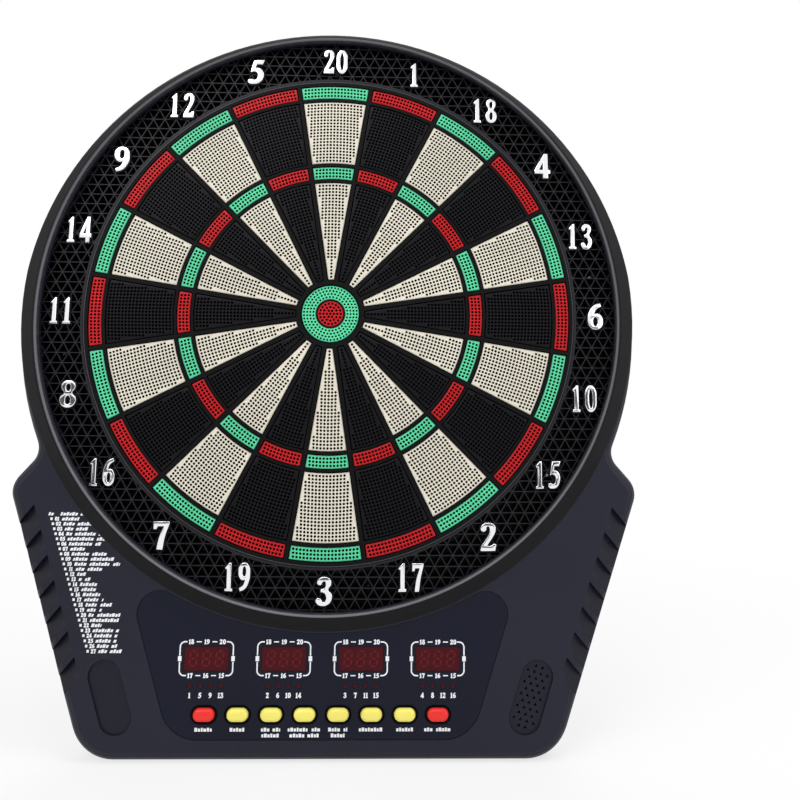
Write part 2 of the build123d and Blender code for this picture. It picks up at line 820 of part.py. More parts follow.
board_edge = board_size[0] / 2
speaker_back = speaker_front - speaker_depth
speaker_lead = lead(
    [
        (speaker_x - magnet_radius / 2, -speaker_back, speaker_z),
        (speaker_x - magnet_radius / 2, -speaker_back + lead_rise, speaker_z),
        (board_edge - board_rise * 5, -board_back + lead_rise, speaker_z + lead_run / 2),
        (board_edge - board_rise * 5, -board_back, speaker_z + lead_run / 2),
    ]
)
speaker_lead.label = "speaker_lead"
jack_lead = lead(
    [
        (jack_x, -jack_height, jack_front_z + jack_size[1]),
        (jack_x, -jack_height, jack_front_z + jack_size[1] + lead_rise),
        (jack_x, -board_back + lead_rise, jack_front_z + jack_size[1] + lead_run),
        (jack_x, -board_back, jack_front_z + jack_size[1] + lead_run),
    ]
)
jack_lead.label = "jack_lead"

# ---- button caps ----
caps = []
for i, place in enumerate(button_places):
    with BuildPart() as cap:
        with BuildSketch(level(flange_bottom)):
            with Locations(place):
                add(button_outline(button_flange))
        extrude(amount=flange_thickness)
        with BuildSketch(level(flange_bottom)):
            with Locations(place):
                add(button_outline())
        extrude(amount=button_top - flange_bottom)
        chamfer(cap.faces().sort_by(Axis.Y)[0].edges(), button_round)
    cap.part.label = f"button_{i + 1}"
    caps.append(cap.part)

for piece in (
    front_shell.part,
    rear_shell.part,
    catch_ring.part,
    spider.part,
    *key_sets,
    outer_bull.part,
    inner_bull.part,
    return_mat.part,
    sensor_matrix.part,
    backing_plate.part,
    target_screws,
    housing_screws,
    panel_overlay.part,
    display_windows.part,
    main_board.part,
    board_screws,
    *displays,
    player_lamps.part,
    tact_switches.part,
    matrix_connector.part,
    controller_chip.part,
    speaker.part,
    speaker_lead,
    dc_jack.part,
    jack_lead,
    *caps,
):
    export_step(piece, f"parts/{piece.label}.step")
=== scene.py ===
"""Dresses the electronic dartboard cabinet: dimpled keys, lattice ring, numerals, printed panel and finishes.

The frame is in metres, with the origin on the bull axis at the wall face, +Z up and the front towards -Y.
New pieces are modelled lying flat in millimetres, X to the right, Y up the board and Z the height above the
wall, and stand_up() then turns and scales each finished piece into the frame.
"""

from math import asin, ceil, cos, hypot, pi, radians, sin, sqrt

import bmesh
import bpy
from mathutils import Matrix, Vector


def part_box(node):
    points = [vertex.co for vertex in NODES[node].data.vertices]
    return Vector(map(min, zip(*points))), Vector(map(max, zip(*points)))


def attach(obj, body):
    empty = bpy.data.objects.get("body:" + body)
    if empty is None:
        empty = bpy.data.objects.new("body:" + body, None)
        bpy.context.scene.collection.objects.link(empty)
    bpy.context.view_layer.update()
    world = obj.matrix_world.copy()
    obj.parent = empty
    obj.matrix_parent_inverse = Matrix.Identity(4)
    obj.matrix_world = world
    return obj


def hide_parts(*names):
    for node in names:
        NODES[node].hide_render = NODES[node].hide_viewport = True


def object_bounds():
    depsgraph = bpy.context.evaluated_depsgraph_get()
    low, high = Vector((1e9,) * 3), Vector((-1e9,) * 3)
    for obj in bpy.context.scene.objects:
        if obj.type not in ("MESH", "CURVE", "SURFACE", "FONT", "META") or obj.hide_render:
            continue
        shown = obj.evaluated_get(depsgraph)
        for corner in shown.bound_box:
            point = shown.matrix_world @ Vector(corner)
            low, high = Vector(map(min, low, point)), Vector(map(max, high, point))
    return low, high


bl_info = {
    "name": "Dartboard cabinet dressing",
    "version": (1, 0, 0),
    "blender": (4, 5, 0),
    "location": "View3D > Sidebar > Dartboard",
    "description": "Models the keys, lattice, numerals, panel print and finishes of an electronic dartboard",
    "category": "Object",
}

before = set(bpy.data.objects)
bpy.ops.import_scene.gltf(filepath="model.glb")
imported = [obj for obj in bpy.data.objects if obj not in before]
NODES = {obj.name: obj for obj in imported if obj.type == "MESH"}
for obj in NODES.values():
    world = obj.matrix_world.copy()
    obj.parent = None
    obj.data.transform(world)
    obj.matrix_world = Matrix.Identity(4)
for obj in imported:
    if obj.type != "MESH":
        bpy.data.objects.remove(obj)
CAD_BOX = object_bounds()

MM = 0.001
NUMBERS = (20, 1, 18, 4, 13, 6, 10, 15, 2, 17, 3, 19, 7, 16, 8, 11, 14, 9, 12, 5)
HALF_SECTOR = radians(180 / len(NUMBERS))


def front_of(node):
    """Height of a CAD node's front above the wall, in millimetres."""
    return -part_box(node)[0].y / MM


def back_of(node):
    """Height of a CAD node's back above the wall, in millimetres."""
    return -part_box(node)[1].y / MM


# heights and radii in millimetres
KEY_FACE, KEY_BACK = front_of("keys_20"), back_of("keys_20")
RING_FRONT, RING_BACK = front_of("catch_ring"), back_of("catch_ring")
RING_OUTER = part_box("catch_ring")[1].x / MM
RING_INNER = 174.0
WEB_FRONT = front_of("spider")
WEB_OUTER = 173.6
OVERLAY_FRONT = front_of("panel_overlay")
SHELL_FACE = 26.0
LIP = 203.2             # radius of the housing's lip round the ring

# keys: double, outer single, treble and inner single, then the bulls
KEY_RINGS = ((160.7, 170.3), (110.9, 158.2), (99.0, 108.4), (24.5, 96.5))
KEY_SIDE = 1.65         # from the line between two numbers to a key
LEDGE_REACH = 1.15
LEDGE_THICKNESS = 1.5
OUTER_BULL = (9.95, 20.8)
OUTER_BULL_DIMPLES = (12.1, 14.3, 16.5, 18.7)
INNER_BULL = 9.65
INNER_BULL_LEDGE = 10.95
INNER_BULL_DIMPLES = (2.45, 4.9, 7.35)
BORE_LEDGE = (1.6, 2.85)    # reach and thickness of the outer bull's inner ledge
DIMPLE_SIDES = 10
DIMPLE_MARGIN = 1.2
DIMPLE_CLEARANCE = 0.12
FACET = 2.2             # length of a key's side along its arc
BULL_SIDES, BORE_SIDES = 90, 60
ROUND_SIDES = 240

# lattice: where its pattern starts, the rim it leaves free, and the step at its back
LATTICE_X, LATTICE_Y = 4.2, 185.4
LATTICE_RIM = 1.6
POCKET_SIDES = 8        # the most that a cut pocket has
STEP_HEIGHT, STEP_WIDTH = 16.5, 5.6


# ---------------------------------------------------------------- sizes and colours


def number_setting(name, description, default, **limits):
    return bpy.props.FloatProperty(name=name, description=description, default=default, **limits)


def colour_setting(name, description, default):
    return bpy.props.FloatVectorProperty(name=name, description=description, subtype="COLOR", default=default)


class KeySizes(bpy.types.PropertyGroup):
    dimple_pitch: number_setting("Dimple pitch", "Distance between dimples, mm", 2.42, min=1.8)
    dimple_radius: number_setting("Dimple radius", "Radius of one dimple, mm", 0.92, min=0.2)
    dimple_depth: number_setting("Dimple depth", "Depth of the dimples, mm", 4.0, min=0.5)
    edge: number_setting("Edge", "Width of the bevelled edge of a key, mm", 1.05, min=0.1)
    pale: colour_setting("Pale keys", "Colour of the pale singles", (0.735, 0.690, 0.575))
    dark: colour_setting("Dark keys", "Colour of the dark singles", (0.0048, 0.0048, 0.0066))
    green: colour_setting("Green keys", "Colour of the green keys", (0.100, 0.650, 0.340))
    red: colour_setting("Red keys", "Colour of the red keys", (0.500, 0.010, 0.014))


class RingSizes(bpy.types.PropertyGroup):
    cell_side: number_setting("Cell side", "Side of one lattice triangle, mm", 8.27, min=4)
    rib_width: number_setting("Rib width", "Width of a lattice rib, mm", 0.62, min=0.3)
    pocket_depth: number_setting("Pocket depth", "Depth of the lattice pockets, mm", 9.0, min=1)
    numeral_radius: number_setting("Numeral radius", "Distance of the numerals from the bull, mm", 189.0)
    numeral_height: number_setting("Numeral height", "Height of a digit, mm", 18.5)
    digit_width: number_setting("Digit width", "Width of a digit in a number of two digits, mm", 8.2)
    single_width: number_setting("Single width", "Width of a digit that stands alone, mm", 11.4)


class PanelSizes(bpy.types.PropertyGroup):
    print_colour: colour_setting("Print", "Colour of the printed marks", (0.86, 0.87, 0.90))
    film_colour: colour_setting("Film", "Colour of the panel film", (0.0066, 0.0078, 0.0180))
    window_colour: colour_setting("Windows", "Colour of the display windows", (0.058, 0.0030, 0.0060))
    segment_colour: colour_setting("Segments", "Colour of the unlit display segments", (0.125, 0.007, 0.012))


class HousingSizes(bpy.types.PropertyGroup):
    colour: colour_setting("Housing", "Colour of the moulded housing", (0.0155, 0.0157, 0.0275))
    grain: number_setting("Grain", "Strength of the moulded grain", 0.12, min=0)


class StageSizes(bpy.types.PropertyGroup):
    lens: number_setting("Lens", "Focal length on a 36 mm sensor", 31.5)
    eye: bpy.props.FloatVectorProperty(
        name="Camera", description="Place of the camera, m", subtype="TRANSLATION",
        default=(0.0384, -0.5159, -0.0689))


def settings():
    return bpy.context.scene.dartboard


class DartboardSettings(bpy.types.PropertyGroup):
    keys: bpy.props.PointerProperty(type=KeySizes)
    ring: bpy.props.PointerProperty(type=RingSizes)
    panel: bpy.props.PointerProperty(type=PanelSizes)
    housing: bpy.props.PointerProperty(type=HousingSizes)
    stage: bpy.props.PointerProperty(type=StageSizes)


# ---------------------------------------------------------------- modelling helpers


def alone(piece):
    """Selects one object only and makes it active."""
    bpy.ops.object.select_all(action="DESELECT")
    piece.select_set(True)
    bpy.context.view_layer.objects.active = piece


def edit(piece, mode="VERT", action="DESELECT"):
    """Opens edit mode with nothing or everything selected and returns the edit mesh."""
    alone(piece)
    bpy.ops.object.mode_set(mode="EDIT")
    bpy.ops.mesh.select_mode(type=mode)
    bpy.ops.mesh.select_all(action=action)
    return bmesh.from_edit_mesh(piece.data)


def leave():
    bpy.ops.object.mode_set(mode="OBJECT")


def join(pieces, name):
    """Joins several mesh objects into one."""
    alone(pieces[0])
    for piece in pieces[1:]:
        piece.select_set(True)
    if len(pieces) > 1:
        bpy.ops.object.join()
    joined = bpy.context.view_layer.objects.active
    joined.name = name
    joined.data.name = name
    return joined


def stand_up(piece, smooth=30, height=0.0):
    """Lifts a flat piece modelled in millimetres, turns it into the frame and fixes its place in its mesh."""
    alone(piece)
    piece.data.transform(Matrix.Translation((0, 0, height)))
    piece.scale = (MM, MM, MM)
    piece.rotation_euler = (pi / 2, 0, 0)
    bpy.ops.object.transform_apply(location=True, rotation=True, scale=True)
    bpy.ops.object.shade_smooth_by_angle(angle=radians(smooth))
    return piece


def place(piece, body, slot, *nodes):
    """Lets a finished piece ride on its body and stand for CAD nodes. Its slot is not used."""
    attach(piece, body)
    if nodes:
        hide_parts(*nodes)


def paint(piece, *materials):
    piece.data.materials.clear()
    for material in materials:
        piece.data.materials.append(material)


def set_up(piece, material, body, slot, *nodes, smooth=30, height=0.0):
    """Stands a flat piece up, paints it and places it."""
    stand_up(piece, smooth, height)
    paint(piece, material)
    place(piece, body, slot, *nodes)


def filled_curve(name):
    curve = bpy.data.curves.new(name, "CURVE")
    curve.dimensions = "2D"
    curve.fill_mode = "BOTH"
    return curve


def curve_to_mesh(curve, height=0.0):
    """Turns a filled curve into a mesh at a height above the wall, without double points."""
    piece = bpy.data.objects.new(curve.name, curve)
    bpy.context.collection.objects.link(piece)
    alone(piece)
    bpy.ops.object.convert(target="MESH")
    edit(piece, action="SELECT")
    bpy.ops.mesh.remove_doubles(threshold=0.0005)
    if height:
        bpy.ops.transform.translate(value=(0, 0, height))
    leave()
    return piece


def flat_sheet(name, outlines, height):
    """Flat sheet between closed outlines, those inside others being holes, at a height above the wall."""
    curve = filled_curve(name)
    for outline in outlines:
        spline = curve.splines.new("POLY")
        spline.points.add(len(outline) - 1)
        for point, (x, y) in zip(spline.points, outline):
            point.co = (x, y, 0, 1)
        spline.use_cyclic_u = True
    return curve_to_mesh(curve, height)


def select_outline(mesh, outline):
    """Selects the open edges of a sheet whose ends both lie on the given outline."""
    tolerance = 0.02
    cells = {}
    for x, y in outline:
        cells.setdefault((round(x), round(y)), []).append((x, y))

    def on(vert):
        cx, cy = round(vert.co.x), round(vert.co.y)
        return any(
            hypot(vert.co.x - x, vert.co.y - y) < tolerance
            for dx in (-1, 0, 1) for dy in (-1, 0, 1) for x, y in cells.get((cx + dx, cy + dy), ())
        )

    for edge in mesh.edges:
        if edge.is_boundary and on(edge.verts[0]) and on(edge.verts[1]):
            edge.select = True


def drop_wall(piece, outline, steps):
    """Extrudes one open outline of a sheet through further outlines of as many points, each at its height."""
    mesh = edit(piece, "EDGE")
    select_outline(mesh, outline)
    current = outline
    for target, height in steps:
        bpy.ops.mesh.extrude_edges_move()
        mesh = bmesh.from_edit_mesh(piece.data)
        for vert in mesh.verts:
            if vert.select:
                near = min(range(len(current)), key=lambda i: (
                    (vert.co.x - current[i][0]) ** 2 + (vert.co.y - current[i][1]) ** 2))
                vert.co = (*target[near], height)
        bmesh.update_edit_mesh(piece.data)
        current = target


def close_wall():
    """Fills the selected open loop and leaves edit mode."""
    bpy.ops.mesh.edge_face_add()
    leave()


def sink_holes(piece, most_sides, depth):
    """Extrudes every small open hole of a sheet down and closes its floor."""
    mesh = edit(piece, "EDGE")
    seen = set()
    for edge in mesh.edges:
        if not edge.is_boundary or edge in seen:
            continue
        loop, queue = [], [edge]
        while queue:
            one = queue.pop()
            if one in seen:
                continue
            seen.add(one)
            loop.append(one)
            for vert in one.verts:
                queue.extend(e for e in vert.link_edges if e.is_boundary and e not in seen)
        if len(loop) <= most_sides:
            for one in loop:
                one.select = True
    bpy.ops.mesh.extrude_edges_move(TRANSFORM_OT_translate={"value": (0, 0, -depth)})
    bpy.ops.mesh.fill_holes(sides=most_sides)
    leave()


def bridge_open_edges(piece):
    """Joins the two open loops of a piece with a band of faces."""
    mesh = edit(piece, "EDGE")
    for edge in mesh.edges:
        edge.select = edge.is_boundary
    bpy.ops.mesh.bridge_edge_loops()
    leave()


def face_outwards(piece):
    """Turns every face of a closed piece outwards."""
    edit(piece, action="SELECT")
    bpy.ops.mesh.normals_make_consistent(inside=False)
    leave()


def circle(radius, count, x=0.0, y=0.0):
    return [
        (x + radius * cos(2 * pi * i / count), y + radius * sin(2 * pi * i / count)) for i in range(count)
    ]


def capsule(x, y, reach, radius, count=14):
    """Oblong outline with round ends about two centres a reach to each side."""
    return [
        (x + side * (reach + radius * sin(pi * k / count)), y - side * radius * cos(pi * k / count))
        for side in (1, -1) for k in range(count + 1)
    ]


def sector(inner, outer, gap, count):
    """Outline between two radii with sides parallel to the sector's two radial lines."""
    far, near = HALF_SECTOR - asin(gap / outer), HALF_SECTOR - asin(gap / inner)
    top = [(outer * sin(far * t), outer * cos(far * t)) for t in (2 * i / count - 1 for i in range(count + 1))]
    low = [(inner * sin(near * t), inner * cos(near * t)) for t in (1 - 2 * i / count for i in range(count + 1))]
    return top + low


def band(points, width):
    """Outline of a flat line of even width along a run of points."""
    left, right = [], []
    for i, (x, y) in enumerate(points):
        x0, y0 = points[max(i - 1, 0)]
        x1, y1 = points[min(i + 1, len(points) - 1)]
        run = hypot(x1 - x0, y1 - y0)
        nx, ny = -(y1 - y0) / run * width / 2, (x1 - x0) / run * width / 2
        left.append((x + nx, y + ny))
        right.append((x - nx, y - ny))
    return left + right[::-1]


def box_outline(x, y, width, height):
    return [
        (x - width / 2, y - height / 2), (x + width / 2, y - height / 2),
        (x + width / 2, y + height / 2), (x - width / 2, y + height / 2),
    ]


def raise_sheet(piece, thickness):
    """Gives a flat sheet a thickness upwards."""
    edit(piece, "FACE", "SELECT")
    bpy.ops.mesh.extrude_region_move(TRANSFORM_OT_translate={"value": (0, 0, thickness)})
    leave()
    face_outwards(piece)


# Digit outlines, drawn in a box of this width and height. A point with a third value is a corner.
DIGIT_WIDTH, DIGIT_HEIGHT = 8.2, 18.5
DIGITS = {
    "0": [
        [(4.1, 18.6), (7.2, 16.0), (8.1, 9.3), (7.2, 2.6), (4.1, 0.0), (1.0, 2.6), (0.1, 9.3), (1.0, 16.0)],
        [(4.1, 16.0), (3.0, 13.6), (2.7, 9.3), (3.0, 5.0), (4.1, 2.6), (5.2, 5.0), (5.5, 9.3), (5.2, 13.6)],
    ],
    "1": [[
        (1.6, 0.0, 1), (6.8, 0.0, 1), (6.7, 1.5, 1), (5.6, 1.9, 1), (5.6, 18.4, 1), (4.5, 18.4, 1), (1.7, 15.3, 1),
        (2.1, 14.3, 1), (3.0, 14.5, 1), (3.0, 1.9, 1), (1.8, 1.5, 1),
    ]],
    "2": [[
        (0.3, 0.0, 1), (0.5, 2.2), (2.6, 6.8), (4.6, 11.4), (4.9, 14.6), (4.1, 16.4), (3.2, 15.6), (3.0, 13.9),
        (1.8, 12.8), (0.5, 14.0), (1.2, 17.1), (4.1, 18.6), (7.1, 17.0), (7.7, 13.8), (6.7, 10.2), (4.9, 6.4),
        (3.4, 3.4, 1), (5.4, 3.3), (6.6, 4.6, 1), (7.9, 4.5, 1), (7.6, 0.0, 1),
    ]],
    "3": [[
        (0.5, 1.6), (0.2, 3.9), (1.4, 4.9), (2.7, 3.9), (3.7, 2.2), (4.9, 3.4), (5.1, 6.1), (4.2, 8.3),
        (2.4, 9.0, 1), (2.5, 10.6, 1), (4.2, 11.4), (4.9, 13.8), (4.2, 16.0), (3.1, 15.2), (2.6, 13.8),
        (1.4, 13.6), (0.7, 15.0), (1.7, 17.6), (4.2, 18.6), (6.8, 17.2), (7.4, 13.9), (6.0, 10.3), (7.7, 7.4),
        (7.5, 3.2), (5.6, 0.5), (3.0, -0.1),
    ]],
    "4": [
        [(4.4, 0.0, 1), (7.0, 0.0, 1), (7.0, 3.5, 1), (8.2, 3.6, 1), (8.2, 6.3, 1), (7.0, 6.3, 1), (7.0, 18.5, 1),
         (5.0, 18.5, 1), (0.0, 6.2, 1), (0.1, 3.5, 1), (4.4, 3.5, 1)],
        [(2.3, 6.3, 1), (4.5, 12.8, 1), (4.5, 6.3, 1)],
    ],
    "5": [[
        (8.3, 18.6, 1), (7.4, 15.3, 1), (4.2, 15.4, 1), (3.6, 12.4, 1), (5.8, 12.0), (7.8, 9.0), (7.6, 4.2), (5.6, 0.9),
        (2.8, 0.0), (0.3, 0.8), (0.1, 3.0), (1.6, 3.5), (3.6, 2.9), (4.9, 5.0), (4.8, 8.4), (3.4, 9.7), (1.2, 9.2, 1),
        (2.7, 18.3, 1),
    ]],
    "6": [
        [(6.6, 18.6, 1), (3.4, 17.0), (1.0, 12.6), (0.2, 7.0), (1.2, 1.9), (4.1, 0.0), (7.0, 1.7), (7.9, 5.8),
         (7.0, 9.8), (4.9, 11.3), (3.3, 10.6, 1), (4.4, 14.2), (7.2, 16.6, 1)],
        [(4.1, 9.0), (5.1, 7.9), (5.3, 5.6), (5.0, 3.3), (4.1, 2.2), (3.1, 3.3), (2.8, 5.6), (3.1, 7.9)],
    ],
    "7": [[
        (0.5, 18.4, 1), (8.0, 18.4, 1), (8.0, 16.6, 1), (6.2, 9.0), (5.2, 0.0, 1), (2.3, 0.0, 1), (3.4, 8.0),
        (5.6, 15.4, 1), (2.5, 15.4, 1), (1.8, 13.4, 1), (0.5, 13.5, 1),
    ]],
    "8": [
        [(4.1, 18.6), (6.9, 17.1), (7.4, 13.6), (6.0, 9.9), (7.8, 7.2), (7.7, 3.0), (5.9, 0.5), (4.1, 0.0),
         (2.3, 0.5), (0.5, 3.0), (0.4, 7.2), (2.2, 9.9), (0.8, 13.6), (1.3, 17.1)],
        [(4.1, 16.5), (3.1, 15.6), (2.9, 13.6), (3.3, 11.9), (4.1, 11.2), (4.9, 11.9), (5.3, 13.6), (5.1, 15.6)],
        [(4.1, 8.2), (3.0, 7.0), (2.8, 4.9), (3.1, 2.9), (4.1, 2.0), (5.1, 2.9), (5.4, 4.9), (5.2, 7.0)],
    ],
}
DIGITS["9"] = [
    [(DIGIT_WIDTH - x, DIGIT_HEIGHT - y, *corner) for x, y, *corner in outline] for outline in DIGITS["6"]]
NARROW_DIGITS = {"1": (1.5, 6.9)}


def lettering(text, x, y, height, width, swell=0.0, depth=0.0, bevel=0.0, spacing=1.3, fine=5):
    """Number as a mesh from the digit outlines, of a given height, its full digits of a given width."""
    grow, stretch = height / DIGIT_HEIGHT, width / DIGIT_WIDTH
    spans = [NARROW_DIGITS.get(digit, (0.0, DIGIT_WIDTH)) for digit in text]
    left = x - (sum(b - a for a, b in spans) + spacing * (len(text) - 1)) * stretch / 2
    curve = filled_curve("number")
    curve.resolution_u = fine
    curve.offset = swell - bevel
    curve.extrude = depth / 2
    curve.bevel_depth = bevel
    curve.bevel_resolution = 2 if bevel else 0
    for digit, (start, end) in zip(text, spans):
        for outline in DIGITS[digit]:
            spline = curve.splines.new("BEZIER")
            spline.bezier_points.add(len(outline) - 1)
            spline.use_cyclic_u = True
            for point, (px, py, *corner) in zip(spline.bezier_points, outline):
                point.co = (left + (px - start) * stretch, y + (py - DIGIT_HEIGHT / 2) * grow, 0)
                point.handle_left_type = point.handle_right_type = "VECTOR" if corner else "AUTO"
        left += (end - start + spacing) * stretch
    return curve_to_mesh(curve)


# ---------------------------------------------------------------- shared effects


def new_group(name, numbers, outputs):
    """Starts a node group that is given a vector and named numbers, and gives out named values."""
    group = bpy.data.node_groups.new(name, "ShaderNodeTree")
    group.interface.new_socket("Vector", in_out="INPUT", socket_type="NodeSocketVector")
    for label, default in numbers.items():
        socket = group.interface.new_socket(label, in_out="INPUT", socket_type="NodeSocketFloat")
        socket.default_value = default
    for label in outputs:
        group.interface.new_socket(label, in_out="OUTPUT", socket_type="NodeSocketFloat")
    start = group.nodes.new("NodeGroupInput")
    end = group.nodes.new("NodeGroupOutput")
    return group, start.outputs, end.inputs


def feed(tree, socket, value):
    """Gives a socket a number, a colour or another node's output."""
    if isinstance(value, (int, float)):
        socket.default_value = value
    elif isinstance(value, (tuple, list)):
        socket.default_value = (*value[:3], 1)
    else:
        tree.links.new(value, socket)


def calc(tree, operation, *values):
    """Math node whose inputs are sockets or numbers."""
    node = tree.nodes.new("ShaderNodeMath")
    node.operation = operation
    for socket, value in zip(node.inputs, values):
        feed(tree, socket, value)
    return node.outputs[0]


def spread(tree, value, low, high, to_low, to_high):
    """Map Range node, clamped."""
    node = tree.nodes.new("ShaderNodeMapRange")
    for socket, number in zip(node.inputs[1:5], (low, high, to_low, to_high)):
        socket.default_value = number
    tree.links.new(value, node.inputs[0])
    return node.outputs[0]


def noise(tree, vector, scale, detail, roughness):
    node = tree.nodes.new("ShaderNodeTexNoise")
    feed(tree, node.inputs["Scale"], scale)
    node.inputs["Detail"].default_value = detail
    node.inputs["Roughness"].default_value = roughness
    tree.links.new(vector, node.inputs["Vector"])
    return node.outputs["Fac"]


def mixed(tree, factor, a, b, blend="MIX"):
    """Colour mix whose inputs are sockets or colours."""
    node = tree.nodes.new("ShaderNodeMix")
    node.data_type = "RGBA"
    node.blend_type = blend
    for socket, value in ((node.inputs[0], factor), (node.inputs[6], a), (node.inputs[7], b)):
        feed(tree, socket, value)
    return node.outputs[2]


def distance(tree, vector):
    """Length of a vector."""
    node = tree.nodes.new("ShaderNodeVectorMath")
    node.operation = "LENGTH"
    tree.links.new(vector, node.inputs[0])
    return node.outputs["Value"]


def make_grain():
    """Moulded grain: a fine height, a soft tone and a patchy gloss."""
    group, given, out = new_group("Moulded grain", {"Scale": 1500.0}, ("Height", "Tone", "Gloss"))
    for label, scale, detail, rough, low, high in (
        ("Height", given["Scale"], 3.0, 0.6, 0.0, 1.0),
        ("Tone", 14.0, 4.0, 0.55, 0.93, 1.07),
        ("Gloss", 55.0, 3.0, 0.6, -0.04, 0.04),
    ):
        pattern = noise(group, given["Vector"], scale, detail, rough)
        group.links.new(spread(group, pattern, 0.3, 0.7, low, high), out[label])
    return group


def make_depth():
    """How far a point lies behind a face plane: 0 on the face, 1 from the fade's end."""
    group, given, out = new_group("Depth below face", {"Face": 0.0, "Fade": 0.001}, ("Depth",))
    split = group.nodes.new("ShaderNodeSeparateXYZ")
    group.links.new(given["Vector"], split.inputs[0])
    behind = calc(group, "ADD", split.outputs[1], given["Face"])
    share = calc(group, "DIVIDE", behind, given["Fade"])
    group.links.new(spread(group, share, 0.0, 1.0, 0.0, 1.0), out["Depth"])
    return group


def make_dust():
    """Sparse pale specks of dust on a surface."""
    group, given, out = new_group("Dust", {"Amount": 0.1}, ("Mask",))
    dots = spread(group, noise(group, given["Vector"], 700.0, 1.0, 0.5), 0.66, 0.74, 0.0, 1.0)
    cover = spread(group, noise(group, given["Vector"], 22.0, 3.0, 0.6), 0.42, 0.7, 0.0, 1.0)
    group.links.new(calc(group, "MULTIPLY", calc(group, "MULTIPLY", dots, cover), given["Amount"]), out["Mask"])
    return group


def make_rubbed():
    """Mask of a painted highlight: 1 on a circle round the bull axis, fading out over its half width."""
    group, given, out = new_group("Painted highlight edge", {"Radius": 0.1, "Half width": 0.0009}, ("Mask",))
    flat = group.nodes.new("ShaderNodeVectorMath")
    flat.operation = "MULTIPLY"
    flat.inputs[1].default_value = (1, 0, 1)
    group.links.new(given["Vector"], flat.inputs[0])
    away = distance(group, flat.outputs[0])
    off = calc(group, "ABSOLUTE", calc(group, "SUBTRACT", away, given["Radius"]))
    group.links.new(spread(group, calc(group, "DIVIDE", off, given["Half width"]), 0.4, 1.0, 1.0, 0.0), out["Mask"])
    return group


GROUPS = {}
GROUP_MAKERS = {"grain": make_grain, "depth": make_depth, "dust": make_dust, "painted_highlight": make_rubbed}
DUST_COLOUR = (0.35, 0.35, 0.37)
# lighter colour of the painted highlight along the housing's lip
PAINTED_HIGHLIGHT_COLOUR = (0.13, 0.13, 0.145)


def effect(tree, name, **values):
    """Places a shared effect in a material and feeds it the object's own coordinates."""
    if name not in GROUPS:
        GROUPS[name] = GROUP_MAKERS[name]()
    node = tree.nodes.new("ShaderNodeGroup")
    node.node_tree = GROUPS[name]
    for label, value in values.items():
        node.inputs[label].default_value = value
    tree.links.new(tree.nodes["Texture Coordinate"].outputs["Object"], node.inputs["Vector"])
    return node.outputs


def start_material(name, roughness, metallic=0.0):
    material = bpy.data.materials.new(name)
    material.use_nodes = True
    tree = material.node_tree
    tree.nodes.new("ShaderNodeTexCoord")
    shader = tree.nodes["Principled BSDF"]
    shader.inputs["Roughness"].default_value = roughness
    shader.inputs["Metallic"].default_value = metallic
    return material, tree, shader


def bump(tree, shader, height, strength):
    node = tree.nodes.new("ShaderNodeBump")
    node.inputs["Strength"].default_value = strength
    node.inputs["Distance"].default_value = 0.2 * MM
    tree.links.new(height, node.inputs["Height"])
    tree.links.new(node.outputs[0], shader.inputs["Normal"])


def moulded(name, colour, roughness=0.45, grain=0.12, scale=1500.0, dust=0.0, painted_shade=None, shine=0.3, crest_shade_and_highlight=None):
    """Moulded plastic: toned colour, patchy gloss and fine grain.

    Painted shade darkens what lies behind a face, given as (face height, fade, colour): shade in recesses, pockets,
    dimples and flanks. What stands in front of a face is given as (height, fade, colour, roughness, radius): it takes
    the given colour as painted shade and the given roughness, with a painted highlight on a circle at that radius. All
    lengths are in millimetres.
    """
    material, tree, shader = start_material(name, roughness)
    shader.inputs["Specular IOR Level"].default_value = shine
    grainy = effect(tree, "grain", Scale=scale)
    tone = tree.nodes.new("ShaderNodeCombineColor")
    for channel in range(3):
        tree.links.new(grainy["Tone"], tone.inputs[channel])
    tint = mixed(tree, 1.0, tuple(colour), tone.outputs[0], "MULTIPLY")
    if dust:
        tint = mixed(tree, effect(tree, "dust", Amount=dust)["Mask"], tint, DUST_COLOUR)
    # painted shade: what lies behind the face darkens towards the given colour
    if painted_shade:
        face, fade, shade = painted_shade
        below = effect(tree, "depth", Face=face * MM, Fade=fade * MM)["Depth"]
        tint = mixed(tree, below, tint, shade)
    gloss = calc(tree, "ADD", grainy["Gloss"], roughness)
    # painted shade: what stands in front of the face takes the darker given colour
    if crest_shade_and_highlight:
        face, fade, shade, smoothness, radius = crest_shade_and_highlight
        below = effect(tree, "depth", Face=face * MM, Fade=fade * MM)["Depth"]
        tint = mixed(tree, below, shade, tint)
        patchy = calc(tree, "ADD", grainy["Gloss"], smoothness)
        gloss = calc(tree, "MULTIPLY_ADD", below, roughness - smoothness, patchy)
        # painted highlight: a lighter band on a circle round the bull axis, at the lip
        painted_highlight = effect(tree, "painted_highlight", Radius=radius * MM)["Mask"]
        in_front = calc(tree, "SUBTRACT", 1.0, below)
        tint = mixed(tree, calc(tree, "MULTIPLY", painted_highlight, in_front), tint, PAINTED_HIGHLIGHT_COLOUR)
        gloss = calc(tree, "MULTIPLY_ADD", painted_highlight, -0.2, gloss)
    tree.links.new(tint, shader.inputs["Base Color"])
    tree.links.new(gloss, shader.inputs["Roughness"])
    if grain:
        bump(tree, shader, grainy["Height"], grain)
    return material


# ---------------------------------------------------------------- keys


